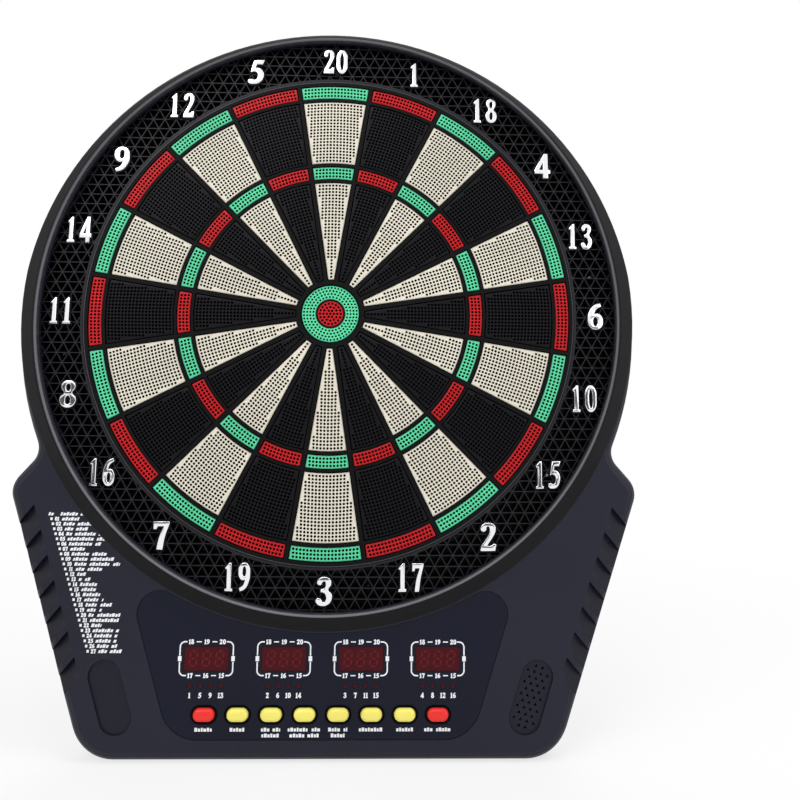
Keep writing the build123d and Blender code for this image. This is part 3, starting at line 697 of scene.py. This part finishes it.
def dimple_places(inner, outer, gap):
    """Centres of a key's dimples: rows follow the arcs and columns run parallel to the key's axis."""
    sizes = settings().keys
    pitch, radius = sizes.dimple_pitch, sizes.dimple_radius
    rows = max(2, round((outer - inner - 2 * DIMPLE_MARGIN) / (pitch * 0.985)) + 1)
    step = (outer - inner - 2 * DIMPLE_MARGIN) / (rows - 1)
    places = []
    for row in range(rows):
        r = outer - DIMPLE_MARGIN - row * step
        for column in range(-20, 21):
            x = column * pitch
            if abs(x) >= r:
                continue
            y = sqrt(r * r - x * x)
            clear = y * sin(HALF_SECTOR) - abs(x) * cos(HALF_SECTOR) - gap
            if clear > radius + DIMPLE_CLEARANCE:
                places.append((x, y))
    return places


def dimple_circle(ring_radius, count, radius):
    """Dimples at even steps on a circle round the bull."""
    turns = [2 * pi * k / count for k in range(count)]
    return [circle(radius, DIMPLE_SIDES, ring_radius * cos(turn), ring_radius * sin(turn)) for turn in turns]


def model_key(inner, outer):
    """One scoring key, lying flat: dimpled face, bevelled edge, straight body and ledge."""
    sizes = settings().keys
    edge = sizes.edge
    count = ceil(2 * outer * HALF_SECTOR / FACET)

    def shrunk(by, side=KEY_SIDE):
        return sector(inner + by, outer - by, side + by, count)

    outline = shrunk(edge)
    places = dimple_places(inner + edge, outer - edge, KEY_SIDE + edge)
    holes = [circle(sizes.dimple_radius, DIMPLE_SIDES, x, y) for x, y in places]
    piece = flat_sheet("key", [outline] + holes, KEY_FACE)
    sink_holes(piece, DIMPLE_SIDES, sizes.dimple_depth)
    body, flange = shrunk(0), shrunk(0, KEY_SIDE - LEDGE_REACH)
    ledge = KEY_BACK + LEDGE_THICKNESS
    drop_wall(piece, outline, [
        (shrunk(edge * 0.3), KEY_FACE - edge * 0.3), (body, KEY_FACE - edge), (body, ledge), (flange, ledge),
        (flange, KEY_BACK)])
    close_wall()
    face_outwards(piece)
    return piece


def key_materials():
    sizes = settings().keys
    paints = {}
    # name, colour, colour of the painted shade in the dimples and on the flanks, and shine
    for name, colour, painted_shade, shine in (
        ("key_pale", sizes.pale, (0.020, 0.016, 0.012), 0.25),
        ("key_dark", sizes.dark, (0.0006, 0.0006, 0.0008), 0.12),
        ("key_green", sizes.green, (0.002, 0.035, 0.020), 0.25),
        ("key_red", sizes.red, (0.030, 0.0008, 0.001), 0.2),
    ):
        painted_shade = (KEY_FACE - 0.06, 0.6, painted_shade)
        paints[name] = moulded(name, colour, 0.42, 0.06, 900.0, painted_shade=painted_shade, shine=shine)
    return paints


class DARTBOARD_OT_keys(bpy.types.Operator):
    """Models the four keys of one number and copies them round the target, with the two bulls."""
    bl_idname = "dartboard.keys"
    bl_label = "Scoring keys"

    def execute(self, context):
        paints = key_materials()
        keys = [model_key(*ring) for ring in KEY_RINGS]
        for piece, colour in zip(keys, (1, 0, 1, 0)):
            paint(piece, paints["key_pale"], paints["key_green"])
            for polygon in piece.data.polygons:
                polygon.material_index = colour
        master = stand_up(join(keys, "key_set"))
        for i, number in enumerate(NUMBERS):
            copy = master.copy()
            copy.data = master.data.copy()
            copy.name = f"scoring_keys_{number}"
            bpy.context.collection.objects.link(copy)
            alone(copy)
            copy.rotation_euler = (0, i * 2 * HALF_SECTOR, 0)
            bpy.ops.object.transform_apply(location=True, rotation=True, scale=True)
            single, ring = ("key_pale", "key_green") if i % 2 == 0 else ("key_dark", "key_red")
            copy.data.materials[0], copy.data.materials[1] = paints[single], paints[ring]
            place(copy, f"keys_{number}", single, f"keys_{number}")
        bpy.data.objects.remove(master)
        self.outer_bull(paints["key_green"])
        self.inner_bull(paints["key_red"])
        return {"FINISHED"}

    def outer_bull(self, material):
        """Ring with four circles of dimples and a ledge on both sides."""
        sizes = settings().keys
        edge = sizes.edge
        inner, outer = OUTER_BULL
        rim, bore = circle(outer - edge, BULL_SIDES), circle(inner + edge, BORE_SIDES)
        holes = []
        for radius in OUTER_BULL_DIMPLES:
            holes += dimple_circle(radius, round(2 * pi * radius / sizes.dimple_pitch), sizes.dimple_radius * 0.85)
        ring = flat_sheet("outer_bull_key", [rim, bore] + holes, KEY_FACE)
        sink_holes(ring, DIMPLE_SIDES, sizes.dimple_depth)
        for outline, radius, sides, (reach, thickness) in (
            (rim, outer, BULL_SIDES, (LEDGE_REACH, LEDGE_THICKNESS)), (bore, inner, BORE_SIDES, BORE_LEDGE),
        ):
            body, flange, ledge = circle(radius, sides), circle(radius + reach, sides), KEY_BACK + thickness
            drop_wall(ring, outline, [(body, KEY_FACE - edge), (body, ledge), (flange, ledge), (flange, KEY_BACK)])
            leave()
        bridge_open_edges(ring)
        face_outwards(ring)
        set_up(ring, material, "outer_bull", "key_green", "outer_bull")

    def inner_bull(self, material):
        """Round key with dimples in the middle and on three circles."""
        sizes = settings().keys
        edge = sizes.edge
        rim = circle(INNER_BULL - edge, BORE_SIDES)
        holes = [circle(sizes.dimple_radius, DIMPLE_SIDES)]
        for k, radius in enumerate(INNER_BULL_DIMPLES, start=1):
            holes += dimple_circle(radius, 6 * k, sizes.dimple_radius)
        centre = flat_sheet("inner_bull_key", [rim] + holes, KEY_FACE)
        sink_holes(centre, DIMPLE_SIDES, sizes.dimple_depth)
        body, flange = circle(INNER_BULL, BORE_SIDES), circle(INNER_BULL_LEDGE, BORE_SIDES)
        ledge = KEY_BACK + LEDGE_THICKNESS
        drop_wall(centre, rim, [(body, KEY_FACE - edge), (body, ledge), (flange, ledge), (flange, KEY_BACK)])
        close_wall()
        face_outwards(centre)
        set_up(centre, material, "inner_bull", "key_red", "inner_bull")


# ---------------------------------------------------------------- lattice ring and numerals


def clip_round(outline, radius, keep_outside):
    """Cuts an outline at a circle round the bull and keeps the part outside or inside it."""
    def inside(point):
        return (hypot(*point) >= radius) == keep_outside

    kept = []
    for i, point in enumerate(outline):
        before = outline[i - 1]
        if inside(point) != inside(before):
            low, high = 0.0, 1.0
            for _ in range(30):
                t = (low + high) / 2
                middle = (before[0] + (point[0] - before[0]) * t, before[1] + (point[1] - before[1]) * t)
                if inside(middle) == inside(before):
                    low = t
                else:
                    high = t
            kept.append(middle)
        if inside(point):
            kept.append(point)
    return kept


def area(outline):
    return abs(sum(
        outline[i - 1][0] * y - x * outline[i - 1][1] for i, (x, y) in enumerate(outline))) / 2


def lattice_pockets(inner, outer):
    """Triangular pockets of the lattice between two radii, each shrunk by half a rib."""
    sizes = settings().ring
    side, rib = sizes.cell_side, sizes.rib_width
    row = side * sqrt(3) / 2
    pockets = []
    rows = int(outer / row) + 2
    columns = int(outer / side) + rows
    for j in range(-rows, rows):
        y0 = j * row + LATTICE_Y % row
        for i in range(-columns, columns):
            x0 = (i + (j % 2) / 2) * side + LATTICE_X
            up = [(x0, y0), (x0 + side, y0), (x0 + side / 2, y0 + row)]
            down = [(x0 + side / 2, y0 + row), (x0 + side, y0), (x0 + 1.5 * side, y0 + row)]
            for corners in (up, down):
                cx, cy = sum(x for x, y in corners) / 3, sum(y for x, y in corners) / 3
                if not inner - side < hypot(cx, cy) < outer + side:
                    continue
                keep = 1 - 3 * (rib / 2) / row
                shrunk = [(cx + (x - cx) * keep, cy + (y - cy) * keep) for x, y in corners]
                cut = clip_round(clip_round(shrunk, inner, True), outer, False)
                if len(cut) > 2 and area(cut) > 0.8:
                    pockets.append(cut)
    return pockets


class DARTBOARD_OT_ring(bpy.types.Operator):
    """Models the catch ring with its lattice of triangular pockets."""
    bl_idname = "dartboard.ring"
    bl_label = "Lattice ring"

    def execute(self, context):
        sizes = settings().ring
        inner = circle(RING_INNER, ROUND_SIDES)
        outer = circle(RING_OUTER, ROUND_SIDES)
        pockets = lattice_pockets(RING_INNER + LATTICE_RIM, RING_OUTER - LATTICE_RIM)
        piece = flat_sheet("lattice_ring", [outer, inner] + pockets, RING_FRONT)
        sink_holes(piece, POCKET_SIDES, sizes.pocket_depth)
        drop_wall(piece, outer, [(outer, RING_BACK)])
        leave()
        step = circle(RING_INNER + STEP_WIDTH, ROUND_SIDES)
        drop_wall(piece, inner, [(inner, STEP_HEIGHT), (step, STEP_HEIGHT), (step, RING_BACK)])
        leave()
        bridge_open_edges(piece)
        face_outwards(piece)
        # painted shade darkens the lattice pockets towards near black
        plastic = moulded("lattice_plastic", (0.0125, 0.0125, 0.0160), 0.45, 0.08, 1400.0, dust=0.05, shine=0.2,
                          painted_shade=(RING_FRONT - 0.1, 3, (0.0008, 0.0008, 0.001)))
        set_up(piece, plastic, "housing", "ring_plastic", "catch_ring")
        return {"FINISHED"}


class DARTBOARD_OT_numerals(bpy.types.Operator):
    """Models the raised metallised numerals on their black plinths."""
    bl_idname = "dartboard.numerals"
    bl_label = "Numerals"

    def execute(self, context):
        sizes = settings().ring
        digits, plinths = [], []
        for i, number in enumerate(NUMBERS):
            turn, text = i * 2 * HALF_SECTOR, str(number)
            x, y = sizes.numeral_radius * sin(turn), sizes.numeral_radius * cos(turn)
            width = sizes.single_width if 1 < number < 10 else sizes.digit_width
            spacing = 3.5 if "1" in text else 1.4
            for part, swell, depth, bevel in ((digits, 0.15, 0.5, 0.45), (plinths, 1.15, 0.8, 0.0)):
                part.append(lettering(text, x, y, sizes.numeral_height, width, swell, depth, bevel, spacing))
        metal, tree, shader = start_material("numeral_metal", 0.1, 0.95)
        grainy = effect(tree, "grain", Scale=600.0)
        tint = mixed(tree, grainy["Tone"], (0.82, 0.83, 0.86), (0.88, 0.89, 0.92))
        tree.links.new(tint, shader.inputs["Base Color"])
        tree.links.new(calc(tree, "MULTIPLY_ADD", grainy["Gloss"], 0.6, 0.11), shader.inputs["Roughness"])
        black = moulded("plinth_plastic", (0.003, 0.003, 0.004), 0.6, 0.05, shine=0.1)
        set_up(join(digits, "numerals"), metal, "housing", "screw_steel", smooth=40, height=RING_FRONT + 1.0)
        set_up(join(plinths, "numeral_plinths"), black, "housing", "ring_plastic", smooth=40,
               height=RING_FRONT + 0.35)
        return {"FINISHED"}


# ---------------------------------------------------------------- panel


def row_places(count, pitch, z):
    """Even places along a row that is centred on the bull axis."""
    return [(pitch * (i - (count - 1) / 2), z) for i in range(count)]


DISPLAYS = row_places(4, 51.0, -231.3)
BUTTONS = row_places(8, 21.9, -266.1)
# half the width and height of the frame printed round a display
FRAME_X, FRAME_Y = 17.5, 10.6
FRAME_CORNER, FRAME_REACH, FRAME_LINE = 3.2, 12.9, 0.85
NUMBER_PITCH = 10.3
PLAYER_PITCH, PLAYER_Y = 6.8, -254.2
LABEL_DROP, LABEL_LINE = 9.2, 3.6
SEGMENT_PITCH = 8.6
LABEL_WIDTHS = ((11.5,), (9.5,), (12.5, 11.8), (21.5, 19.0), (12.5, 9.0), (16.0,), (11.0,), (18.0,))
LIST_TOP, LIST_FOOT = (-184.6, -138.7), (-153.8, -226.6)
LIST_LEAN = 0.3
LIST_LENGTHS = (
    15, 12, 29, 16, 26.5, 25, 22, 9.5, 23.5, 27, 30, 18, 6, 7.5, 11, 9.5, 12, 12.5, 17, 9.5, 21, 19, 6.5, 17, 15,
    13.5, 13, 15)
PRINT_THICKNESS = 0.05


def greeked(x, y, length, height, lean, seed):
    """Run of small blocks from x rightwards that stands for a printed word or two."""
    blocks, used, k = [], 0.0, seed
    while used < length - 0.6:
        width = min(1.25 + 0.3 * ((k * 5) % 3), length - used)
        tall = height - 0.45 * ((k * 3) % 2)
        slant = lean * height / 2
        if k % 8 != 6 or not 2 < used < length - 3:
            blocks.append([
                (x + used - slant, y - height / 2), (x + used + width - slant, y - height / 2),
                (x + used + width + slant, y - height / 2 + tall), (x + used + slant, y - height / 2 + tall)])
        used += width + 0.4
        k += 1
    return blocks


def corner_run(x, y, sx, sy):
    """One corner of a display's frame: from mid-side up round the corner to the first number."""
    cx, cy = x + sx * (FRAME_X - FRAME_CORNER), y + sy * (FRAME_Y - FRAME_CORNER)
    turns = [k * pi / 2 / 6 for k in range(7)]
    arc = [(cx + sx * FRAME_CORNER * cos(turn), cy + sy * FRAME_CORNER * sin(turn)) for turn in turns]
    return [(x + sx * FRAME_X, y + sy * 2.0)] + arc + [(x + sx * FRAME_REACH, y + sy * FRAME_Y)]


def print_marks(name, outlines, letters, ink, height):
    """Joins flat marks and numbers into one thin print that lies on a face."""
    printed = join([flat_sheet(name + "_marks", outlines, 0.0)] + letters, name)
    raise_sheet(printed, PRINT_THICKNESS)
    set_up(printed, ink, "housing", None, height=height)


class DARTBOARD_OT_panel_print(bpy.types.Operator):
    """Prints the frames, numbers and marks on the panel film."""
    bl_idname = "dartboard.panel_print"
    bl_label = "Panel print"

    def execute(self, context):
        outlines, letters = [], []
        for index, (x, z) in enumerate(DISPLAYS):
            for sx in (-1, 1):
                for sy in (-1, 1):
                    outlines.append(band(corner_run(x, z, sx, sy), FRAME_LINE))
                outlines.append(box_outline(x + sx * FRAME_X, z, 2.3, 3.2))
            for sy, numbers in ((1, ("18", "19", "20")), (-1, ("17", "16", "15"))):
                y = z + sy * FRAME_Y
                for k, number in enumerate(numbers):
                    letters.append(lettering(number, x + NUMBER_PITCH * (k - 1), y, 2.9, 1.85, 0.1, fine=2))
                for k in (-0.5, 0.5):
                    outlines.append(box_outline(x + NUMBER_PITCH * k, y, 3.3, 0.7))
            for k in range(4):
                number = str(index + 1 + 4 * k)
                letters.append(lettering(number, x + PLAYER_PITCH * (k - 1.5), PLAYER_Y, 3.2, 1.9, 0.1, fine=2))
        for (x, z), widths in zip(BUTTONS, LABEL_WIDTHS):
            for line, width in enumerate(widths):
                y = z - LABEL_DROP - LABEL_LINE * line
                outlines += greeked(x - width / 2, y, width, 2.3, 0.0, len(outlines))
        ink = moulded("print_ink", settings().panel.print_colour, 0.5, 0.0)
        print_marks("panel_print", outlines, letters, ink, OVERLAY_FRONT)
        self.side_list(ink)
        return {"FINISHED"}

    def side_list(self, ink):
        """Numbered list on the housing's left side, under a heading, with plain blocks for its words."""
        (x0, y0), (x1, y1) = LIST_TOP, LIST_FOOT
        outlines, letters = [], []
        for row, length in enumerate(LIST_LENGTHS):
            t = row / (len(LIST_LENGTHS) - 1)
            x, y = x0 + (x1 - x0) * t, y0 + (y1 - y0) * t
            if row:
                outlines.append(box_outline(x - 0.5, y, 1.5, 1.7))
                letters.append(lettering(f"{row:02d}", x + 3.2, y, 2.5, 1.5, 0.12, fine=2))
            else:
                outlines += greeked(x - 1.4, y, 3.2, 2.1, LIST_LEAN, row)
            outlines += greeked(x + 6.6, y, length, 2.2, LIST_LEAN, row)
        print_marks("side_list_print", outlines, letters, ink, SHELL_FACE)


def digit_segments(x, y):
    """Outlines of the seven segments of one leaning display digit."""
    half_w, half_h, line, slant = 2.3, 4.6, 1.15, 0.12
    outlines = []
    for sy in (-1, 0, 1):
        level, lean = y + sy * half_h, sy * half_h * slant
        left, right = x - half_w + lean, x + half_w + lean
        outlines.append([
            (left + 0.7, level), (left + 1.3, level + line / 2), (right - 1.3, level + line / 2),
            (right - 0.7, level), (right - 1.3, level - line / 2), (left + 1.3, level - line / 2)])
    for sx in (-1, 1):
        for sy in (-1, 1):
            y0, y1 = y + sy * 0.55, y + sy * (half_h - 0.55)
            x0, x1 = x + sx * half_w + (y0 - y) * slant, x + sx * half_w + (y1 - y) * slant
            outlines.append([
                (x0 - line / 2, y0 + sy * 0.5), (x0, y0), (x0 + line / 2, y0 + sy * 0.5),
                (x1 + line / 2, y1 - sy * 0.5), (x1, y1), (x1 - line / 2, y1 - sy * 0.5)])
    return outlines


class DARTBOARD_OT_displays(bpy.types.Operator):
    """Gives the display windows their unlit segments and finishes the lamps."""
    bl_idname = "dartboard.displays"
    bl_label = "Displays and lamps"

    def execute(self, context):
        sizes = settings().panel
        outlines = []
        for x, z in DISPLAYS:
            for k in (-1, 0, 1):
                outlines += digit_segments(x + SEGMENT_PITCH * k, z)
        segments = flat_sheet("display_segments", outlines, OVERLAY_FRONT)
        raise_sheet(segments, 0.04)
        set_up(segments, moulded("segment_red", sizes.segment_colour, 0.22, 0.0, shine=0.12), "housing", "window")
        paint(NODES["display_windows"], moulded("window_red", sizes.window_colour, 0.16, 0.0, shine=0.12))
        paint(NODES["player_lamps"], moulded("lamp_red", (0.050, 0.0045, 0.007), 0.3, 0.0, shine=0.12))
        film = moulded("panel_film", sizes.film_colour, 0.32, 0.02, 2500.0, dust=0.04, shine=0.14)
        paint(NODES["panel_overlay"], film)
        return {"FINISHED"}


class DARTBOARD_OT_buttons(bpy.types.Operator):
    """Models the pillow caps of the push buttons."""
    bl_idname = "dartboard.buttons"
    bl_label = "Push buttons"

    def execute(self, context):
        paints = {
            "button_yellow": moulded("button_yellow", (0.93, 0.83, 0.17), 0.32, 0.03, 1200.0),
            "button_red": moulded("button_red", (0.84, 0.030, 0.024), 0.32, 0.03, 1200.0),
        }
        back, top = back_of("button_1"), front_of("button_1")
        flange = back + 1.2
        half_height, reach = 4.2, 2.9
        # black ring round each cap over the opening in the film: partly the housing's own dark floor, and its deeper
        # black is painted shade of the gap round the cap
        rings = [
            capsule(x, y, reach, half_height + wider, 10) for x, y in BUTTONS for wider in (1.8, 0.4)]
        shade_rings = flat_sheet("button_shade_rings", rings, OVERLAY_FRONT - 0.2)
        raise_sheet(shade_rings, 0.35)
        black = moulded("button_ring_shade", (0.0008, 0.0008, 0.0012), 0.4, 0.02, shine=0.05)
        set_up(shade_rings, black, "housing", "ring_plastic")
        # each step of a cap's side: how far in from its widest outline, and at what height
        steps = (
            (1.7, top - 0.08), (0.9, top - 0.42), (0.35, top - 1.1), (0.05, top - 2.1), (0.0, flange),
            (-1.4, flange), (-1.4, back))
        for i, (x, y) in enumerate(BUTTONS, start=1):
            crown = capsule(x, y, reach, half_height - 2.6)
            cap = flat_sheet(f"button_cap_{i}", [crown], top)
            drop_wall(cap, crown, [(capsule(x, y, reach, half_height - inset), height) for inset, height in steps])
            close_wall()
            face_outwards(cap)
            colour = "button_red" if i in (1, 8) else "button_yellow"
            set_up(cap, paints[colour], f"button_{i}", colour, f"button_{i}", smooth=50)
        return {"FINISHED"}


# ---------------------------------------------------------------- housing and hidden parts


class DARTBOARD_OT_housing(bpy.types.Operator):
    """Finishes the housing shells, the web and the screws."""
    bl_idname = "dartboard.housing"
    bl_label = "Housing"

    def execute(self, context):
        sizes = settings().housing
        shell = moulded("housing_plastic", sizes.colour, 0.46, sizes.grain, 1700.0, dust=0.05, shine=0.18,
                        # painted shade in the shell's recesses, below its face
                        painted_shade=(SHELL_FACE - 0.3, 1.3, [c * 0.65 for c in sizes.colour]),
                        # painted shade on the rim and its rounded edge in front of the face, and a painted highlight
                        # along the lip
                        crest_shade_and_highlight=(SHELL_FACE + 0.6, 0.5, (0.0034, 0.0034, 0.0048), 0.56, LIP))
        back = moulded("rear_plastic", [c * 0.75 for c in sizes.colour], 0.55, sizes.grain * 1.5, 1100.0, dust=0.08)
        # painted shade on the web's flanks, below its front
        web = moulded("web_plastic", (0.0048, 0.0048, 0.0056), 0.55, 0.08, 1500.0,
                      painted_shade=(WEB_FRONT - 0.3, 2, (0.001, 0.001, 0.0015)), shine=0.08)
        steel, tree, shader = start_material("screw_steel", 0.35, 1.0)
        grainy = effect(tree, "grain", Scale=3000.0)
        tint = mixed(tree, grainy["Tone"], (0.40, 0.40, 0.42), (0.62, 0.62, 0.64))
        tree.links.new(tint, shader.inputs["Base Color"])
        bump(tree, shader, grainy["Height"], 0.1)
        # a thin raised ring at the web's outer edge, in a lighter colour: painted highlight along that edge
        edges = [circle(WEB_OUTER - inset, ROUND_SIDES) for inset in (0.1, 0.75)]
        bead = flat_sheet("web_bead", edges, WEB_FRONT)
        raise_sheet(bead, 0.12)
        set_up(bead, moulded("web_edge_painted_highlight", (0.040, 0.040, 0.046), 0.4, 0.05), "housing", "web_plastic")
        for name, material in (
            ("front_shell", shell), ("rear_shell", back), ("spider", web), ("housing_screws", steel),
            ("target_screws", steel), ("board_screws", steel),
        ):
            paint(NODES[name], material)
        return {"FINISHED"}


class DARTBOARD_OT_inside(bpy.types.Operator):
    """Finishes the hidden parts: mat, film, plate, circuit board, speaker, inlet and leads."""
    bl_idname = "dartboard.inside"
    bl_label = "Inside"

    def execute(self, context):
        finishes = {
            "mat_rubber": (("return_mat",), (0.012, 0.012, 0.012), 0.8),
            "sensor_film": (("sensor_matrix",), (0.48, 0.52, 0.42), 0.35),
            "hardboard": (("backing_plate",), (0.15, 0.075, 0.032), 0.75),
            "circuit_board": (("main_board",), (0.010, 0.085, 0.030), 0.35),
            "display_block": (("display_1", "display_2", "display_3", "display_4"), (0.035, 0.010, 0.012), 0.3),
            "black_part": (
                ("tact_switches", "matrix_connector", "controller_chip", "dc_jack"), (0.009, 0.009, 0.010), 0.45),
            "speaker_cone": (("speaker",), (0.012, 0.012, 0.013), 0.7),
            "lead_red": (("speaker_lead", "jack_lead"), (0.26, 0.012, 0.012), 0.5),
        }
        for name, (nodes, colour, roughness) in finishes.items():
            material = moulded(name, colour, roughness, 0.1, 1200.0)
            for node in nodes:
                paint(NODES[node], material)
        return {"FINISHED"}


# ---------------------------------------------------------------- stage


CAMERA_RIGHT = (0.9996838, -0.0236317, 0.0085873)
CAMERA_FORWARD = (0.0223086, 0.9911803, 0.1306288)


class DARTBOARD_OT_stage(bpy.types.Operator):
    """Sets the floor, the lamps, the white surroundings and the camera."""
    bl_idname = "dartboard.stage"
    bl_label = "Stage"

    def execute(self, context):
        bpy.ops.object.select_all(action="DESELECT")
        bpy.ops.mesh.primitive_plane_add(size=12, location=(0, 0, CAD_BOX[0].z - 0.5 * MM))
        floor = bpy.context.object
        floor.name = "floor"
        floor.data.materials.append(self.floor_material())
        self.world()
        for name, place_at, size, power in (
            ("key_light", (-0.9, -1.5, 1.25), 1.3, 20.0),
            ("fill_light", (1.4, -1.3, 0.2), 1.4, 8.0),
            ("top_light", (0.1, -0.45, 1.7), 0.9, 9.0),
            ("edge_light", (1.25, -0.5, 1.45), 0.7, 7.0),
            ("back_light", (0.3, 1.6, 0.9), 1.4, 10.0),
        ):
            lamp = bpy.data.lights.new(name, "AREA")
            lamp.size = size
            lamp.energy = power
            holder = bpy.data.objects.new(name, lamp)
            holder.location = place_at
            holder.rotation_euler = (-Vector(place_at)).to_track_quat("-Z", "Y").to_euler()
            context.collection.objects.link(holder)
        self.flag()
        self.camera(context)
        context.scene.view_settings.view_transform = "Standard"
        return {"FINISHED"}

    def flag(self):
        """Dark flag behind the camera that the shiny numerals mirror."""
        bpy.ops.mesh.primitive_plane_add(size=1, location=(0, -1.9, -0.15), rotation=(pi / 2, 0, 0))
        flag = bpy.context.object
        flag.name = "flag"
        flag.scale = (3.4, 0.5, 1)
        material, _, shader = start_material("flag_black", 0.9)
        shader.inputs["Base Color"].default_value = (0.004, 0.004, 0.005, 1)
        flag.data.materials.append(material)
        flag.visible_camera = False
        flag.visible_shadow = False

    def seen_or_mirrored(self, tree):
        """1 for rays from the camera and for those that a mirror or glass sends on."""
        path = tree.nodes.new("ShaderNodeLightPath")
        seen = calc(tree, "MAXIMUM", path.outputs["Is Camera Ray"], path.outputs["Is Glossy Ray"])
        return calc(tree, "MAXIMUM", seen, path.outputs["Is Transmission Ray"])

    def floor_material(self):
        """White floor that keeps the object's shadow and fades into the white surroundings."""
        material, tree, shader = start_material("floor_white", 0.9)
        shader.inputs["Base Color"].default_value = (0.85, 0.85, 0.86, 1)
        glow = tree.nodes.new("ShaderNodeEmission")
        mix = tree.nodes.new("ShaderNodeMixShader")
        away = distance(tree, tree.nodes["Texture Coordinate"].outputs["Object"])
        share = spread(tree, away, 0.25, 0.9, 0.72, 1.0)
        tree.links.new(calc(tree, "MULTIPLY", self.seen_or_mirrored(tree), share), mix.inputs[0])
        tree.links.new(shader.outputs[0], mix.inputs[1])
        tree.links.new(glow.outputs[0], mix.inputs[2])
        tree.links.new(mix.outputs[0], tree.nodes["Material Output"].inputs[0])
        return material

    def world(self):
        world = bpy.data.worlds.new("surroundings")
        bpy.context.scene.world = world
        world.use_nodes = True
        tree = world.node_tree
        background = tree.nodes["Background"]
        background.inputs[0].default_value = (1, 1, 1, 1)
        tree.links.new(spread(tree, self.seen_or_mirrored(tree), 0, 1, 0.45, 1.0), background.inputs[1])

    def camera(self, context):
        sizes = settings().stage
        data = bpy.data.cameras.new("camera")
        data.lens = sizes.lens
        data.sensor_width = 36.0
        data.clip_start = 0.01
        data.shift_y = -0.1
        camera = bpy.data.objects.new("camera", data)
        back = -Vector(CAMERA_FORWARD).normalized()
        up = back.cross(Vector(CAMERA_RIGHT)).normalized()
        turned = Matrix((up.cross(back).normalized(), up, back)).transposed()
        camera.matrix_world = Matrix.Translation(sizes.eye) @ turned.to_4x4()
        context.collection.objects.link(camera)
        context.scene.camera = camera


class DARTBOARD_PT_panel(bpy.types.Panel):
    """Lists the dressing steps."""
    bl_label = "Dartboard"
    bl_space_type = "VIEW_3D"
    bl_region_type = "UI"
    bl_category = "Dartboard"

    def draw(self, context):
        for step in STEPS:
            self.layout.operator(step.bl_idname)
        for group in ("keys", "ring", "panel", "housing", "stage"):
            box = self.layout.box()
            for name in getattr(settings(), group).__annotations__:
                box.prop(getattr(settings(), group), name)


STEPS = (
    DARTBOARD_OT_housing,
    DARTBOARD_OT_inside,
    DARTBOARD_OT_ring,
    DARTBOARD_OT_numerals,
    DARTBOARD_OT_keys,
    DARTBOARD_OT_displays,
    DARTBOARD_OT_panel_print,
    DARTBOARD_OT_buttons,
    DARTBOARD_OT_stage,
)
CLASSES = (KeySizes, RingSizes, PanelSizes, HousingSizes, StageSizes, DartboardSettings, DARTBOARD_PT_panel) + STEPS


def register():
    for one in CLASSES:
        bpy.utils.register_class(one)
    bpy.types.Scene.dartboard = bpy.props.PointerProperty(type=DartboardSettings)


def unregister():
    del bpy.types.Scene.dartboard
    for one in reversed(CLASSES):
        bpy.utils.unregister_class(one)


def main():
    register()
    for step in STEPS:
        family, name = step.bl_idname.split(".")
        getattr(getattr(bpy.ops, family), name)()


if __name__ == "__main__":
    main()
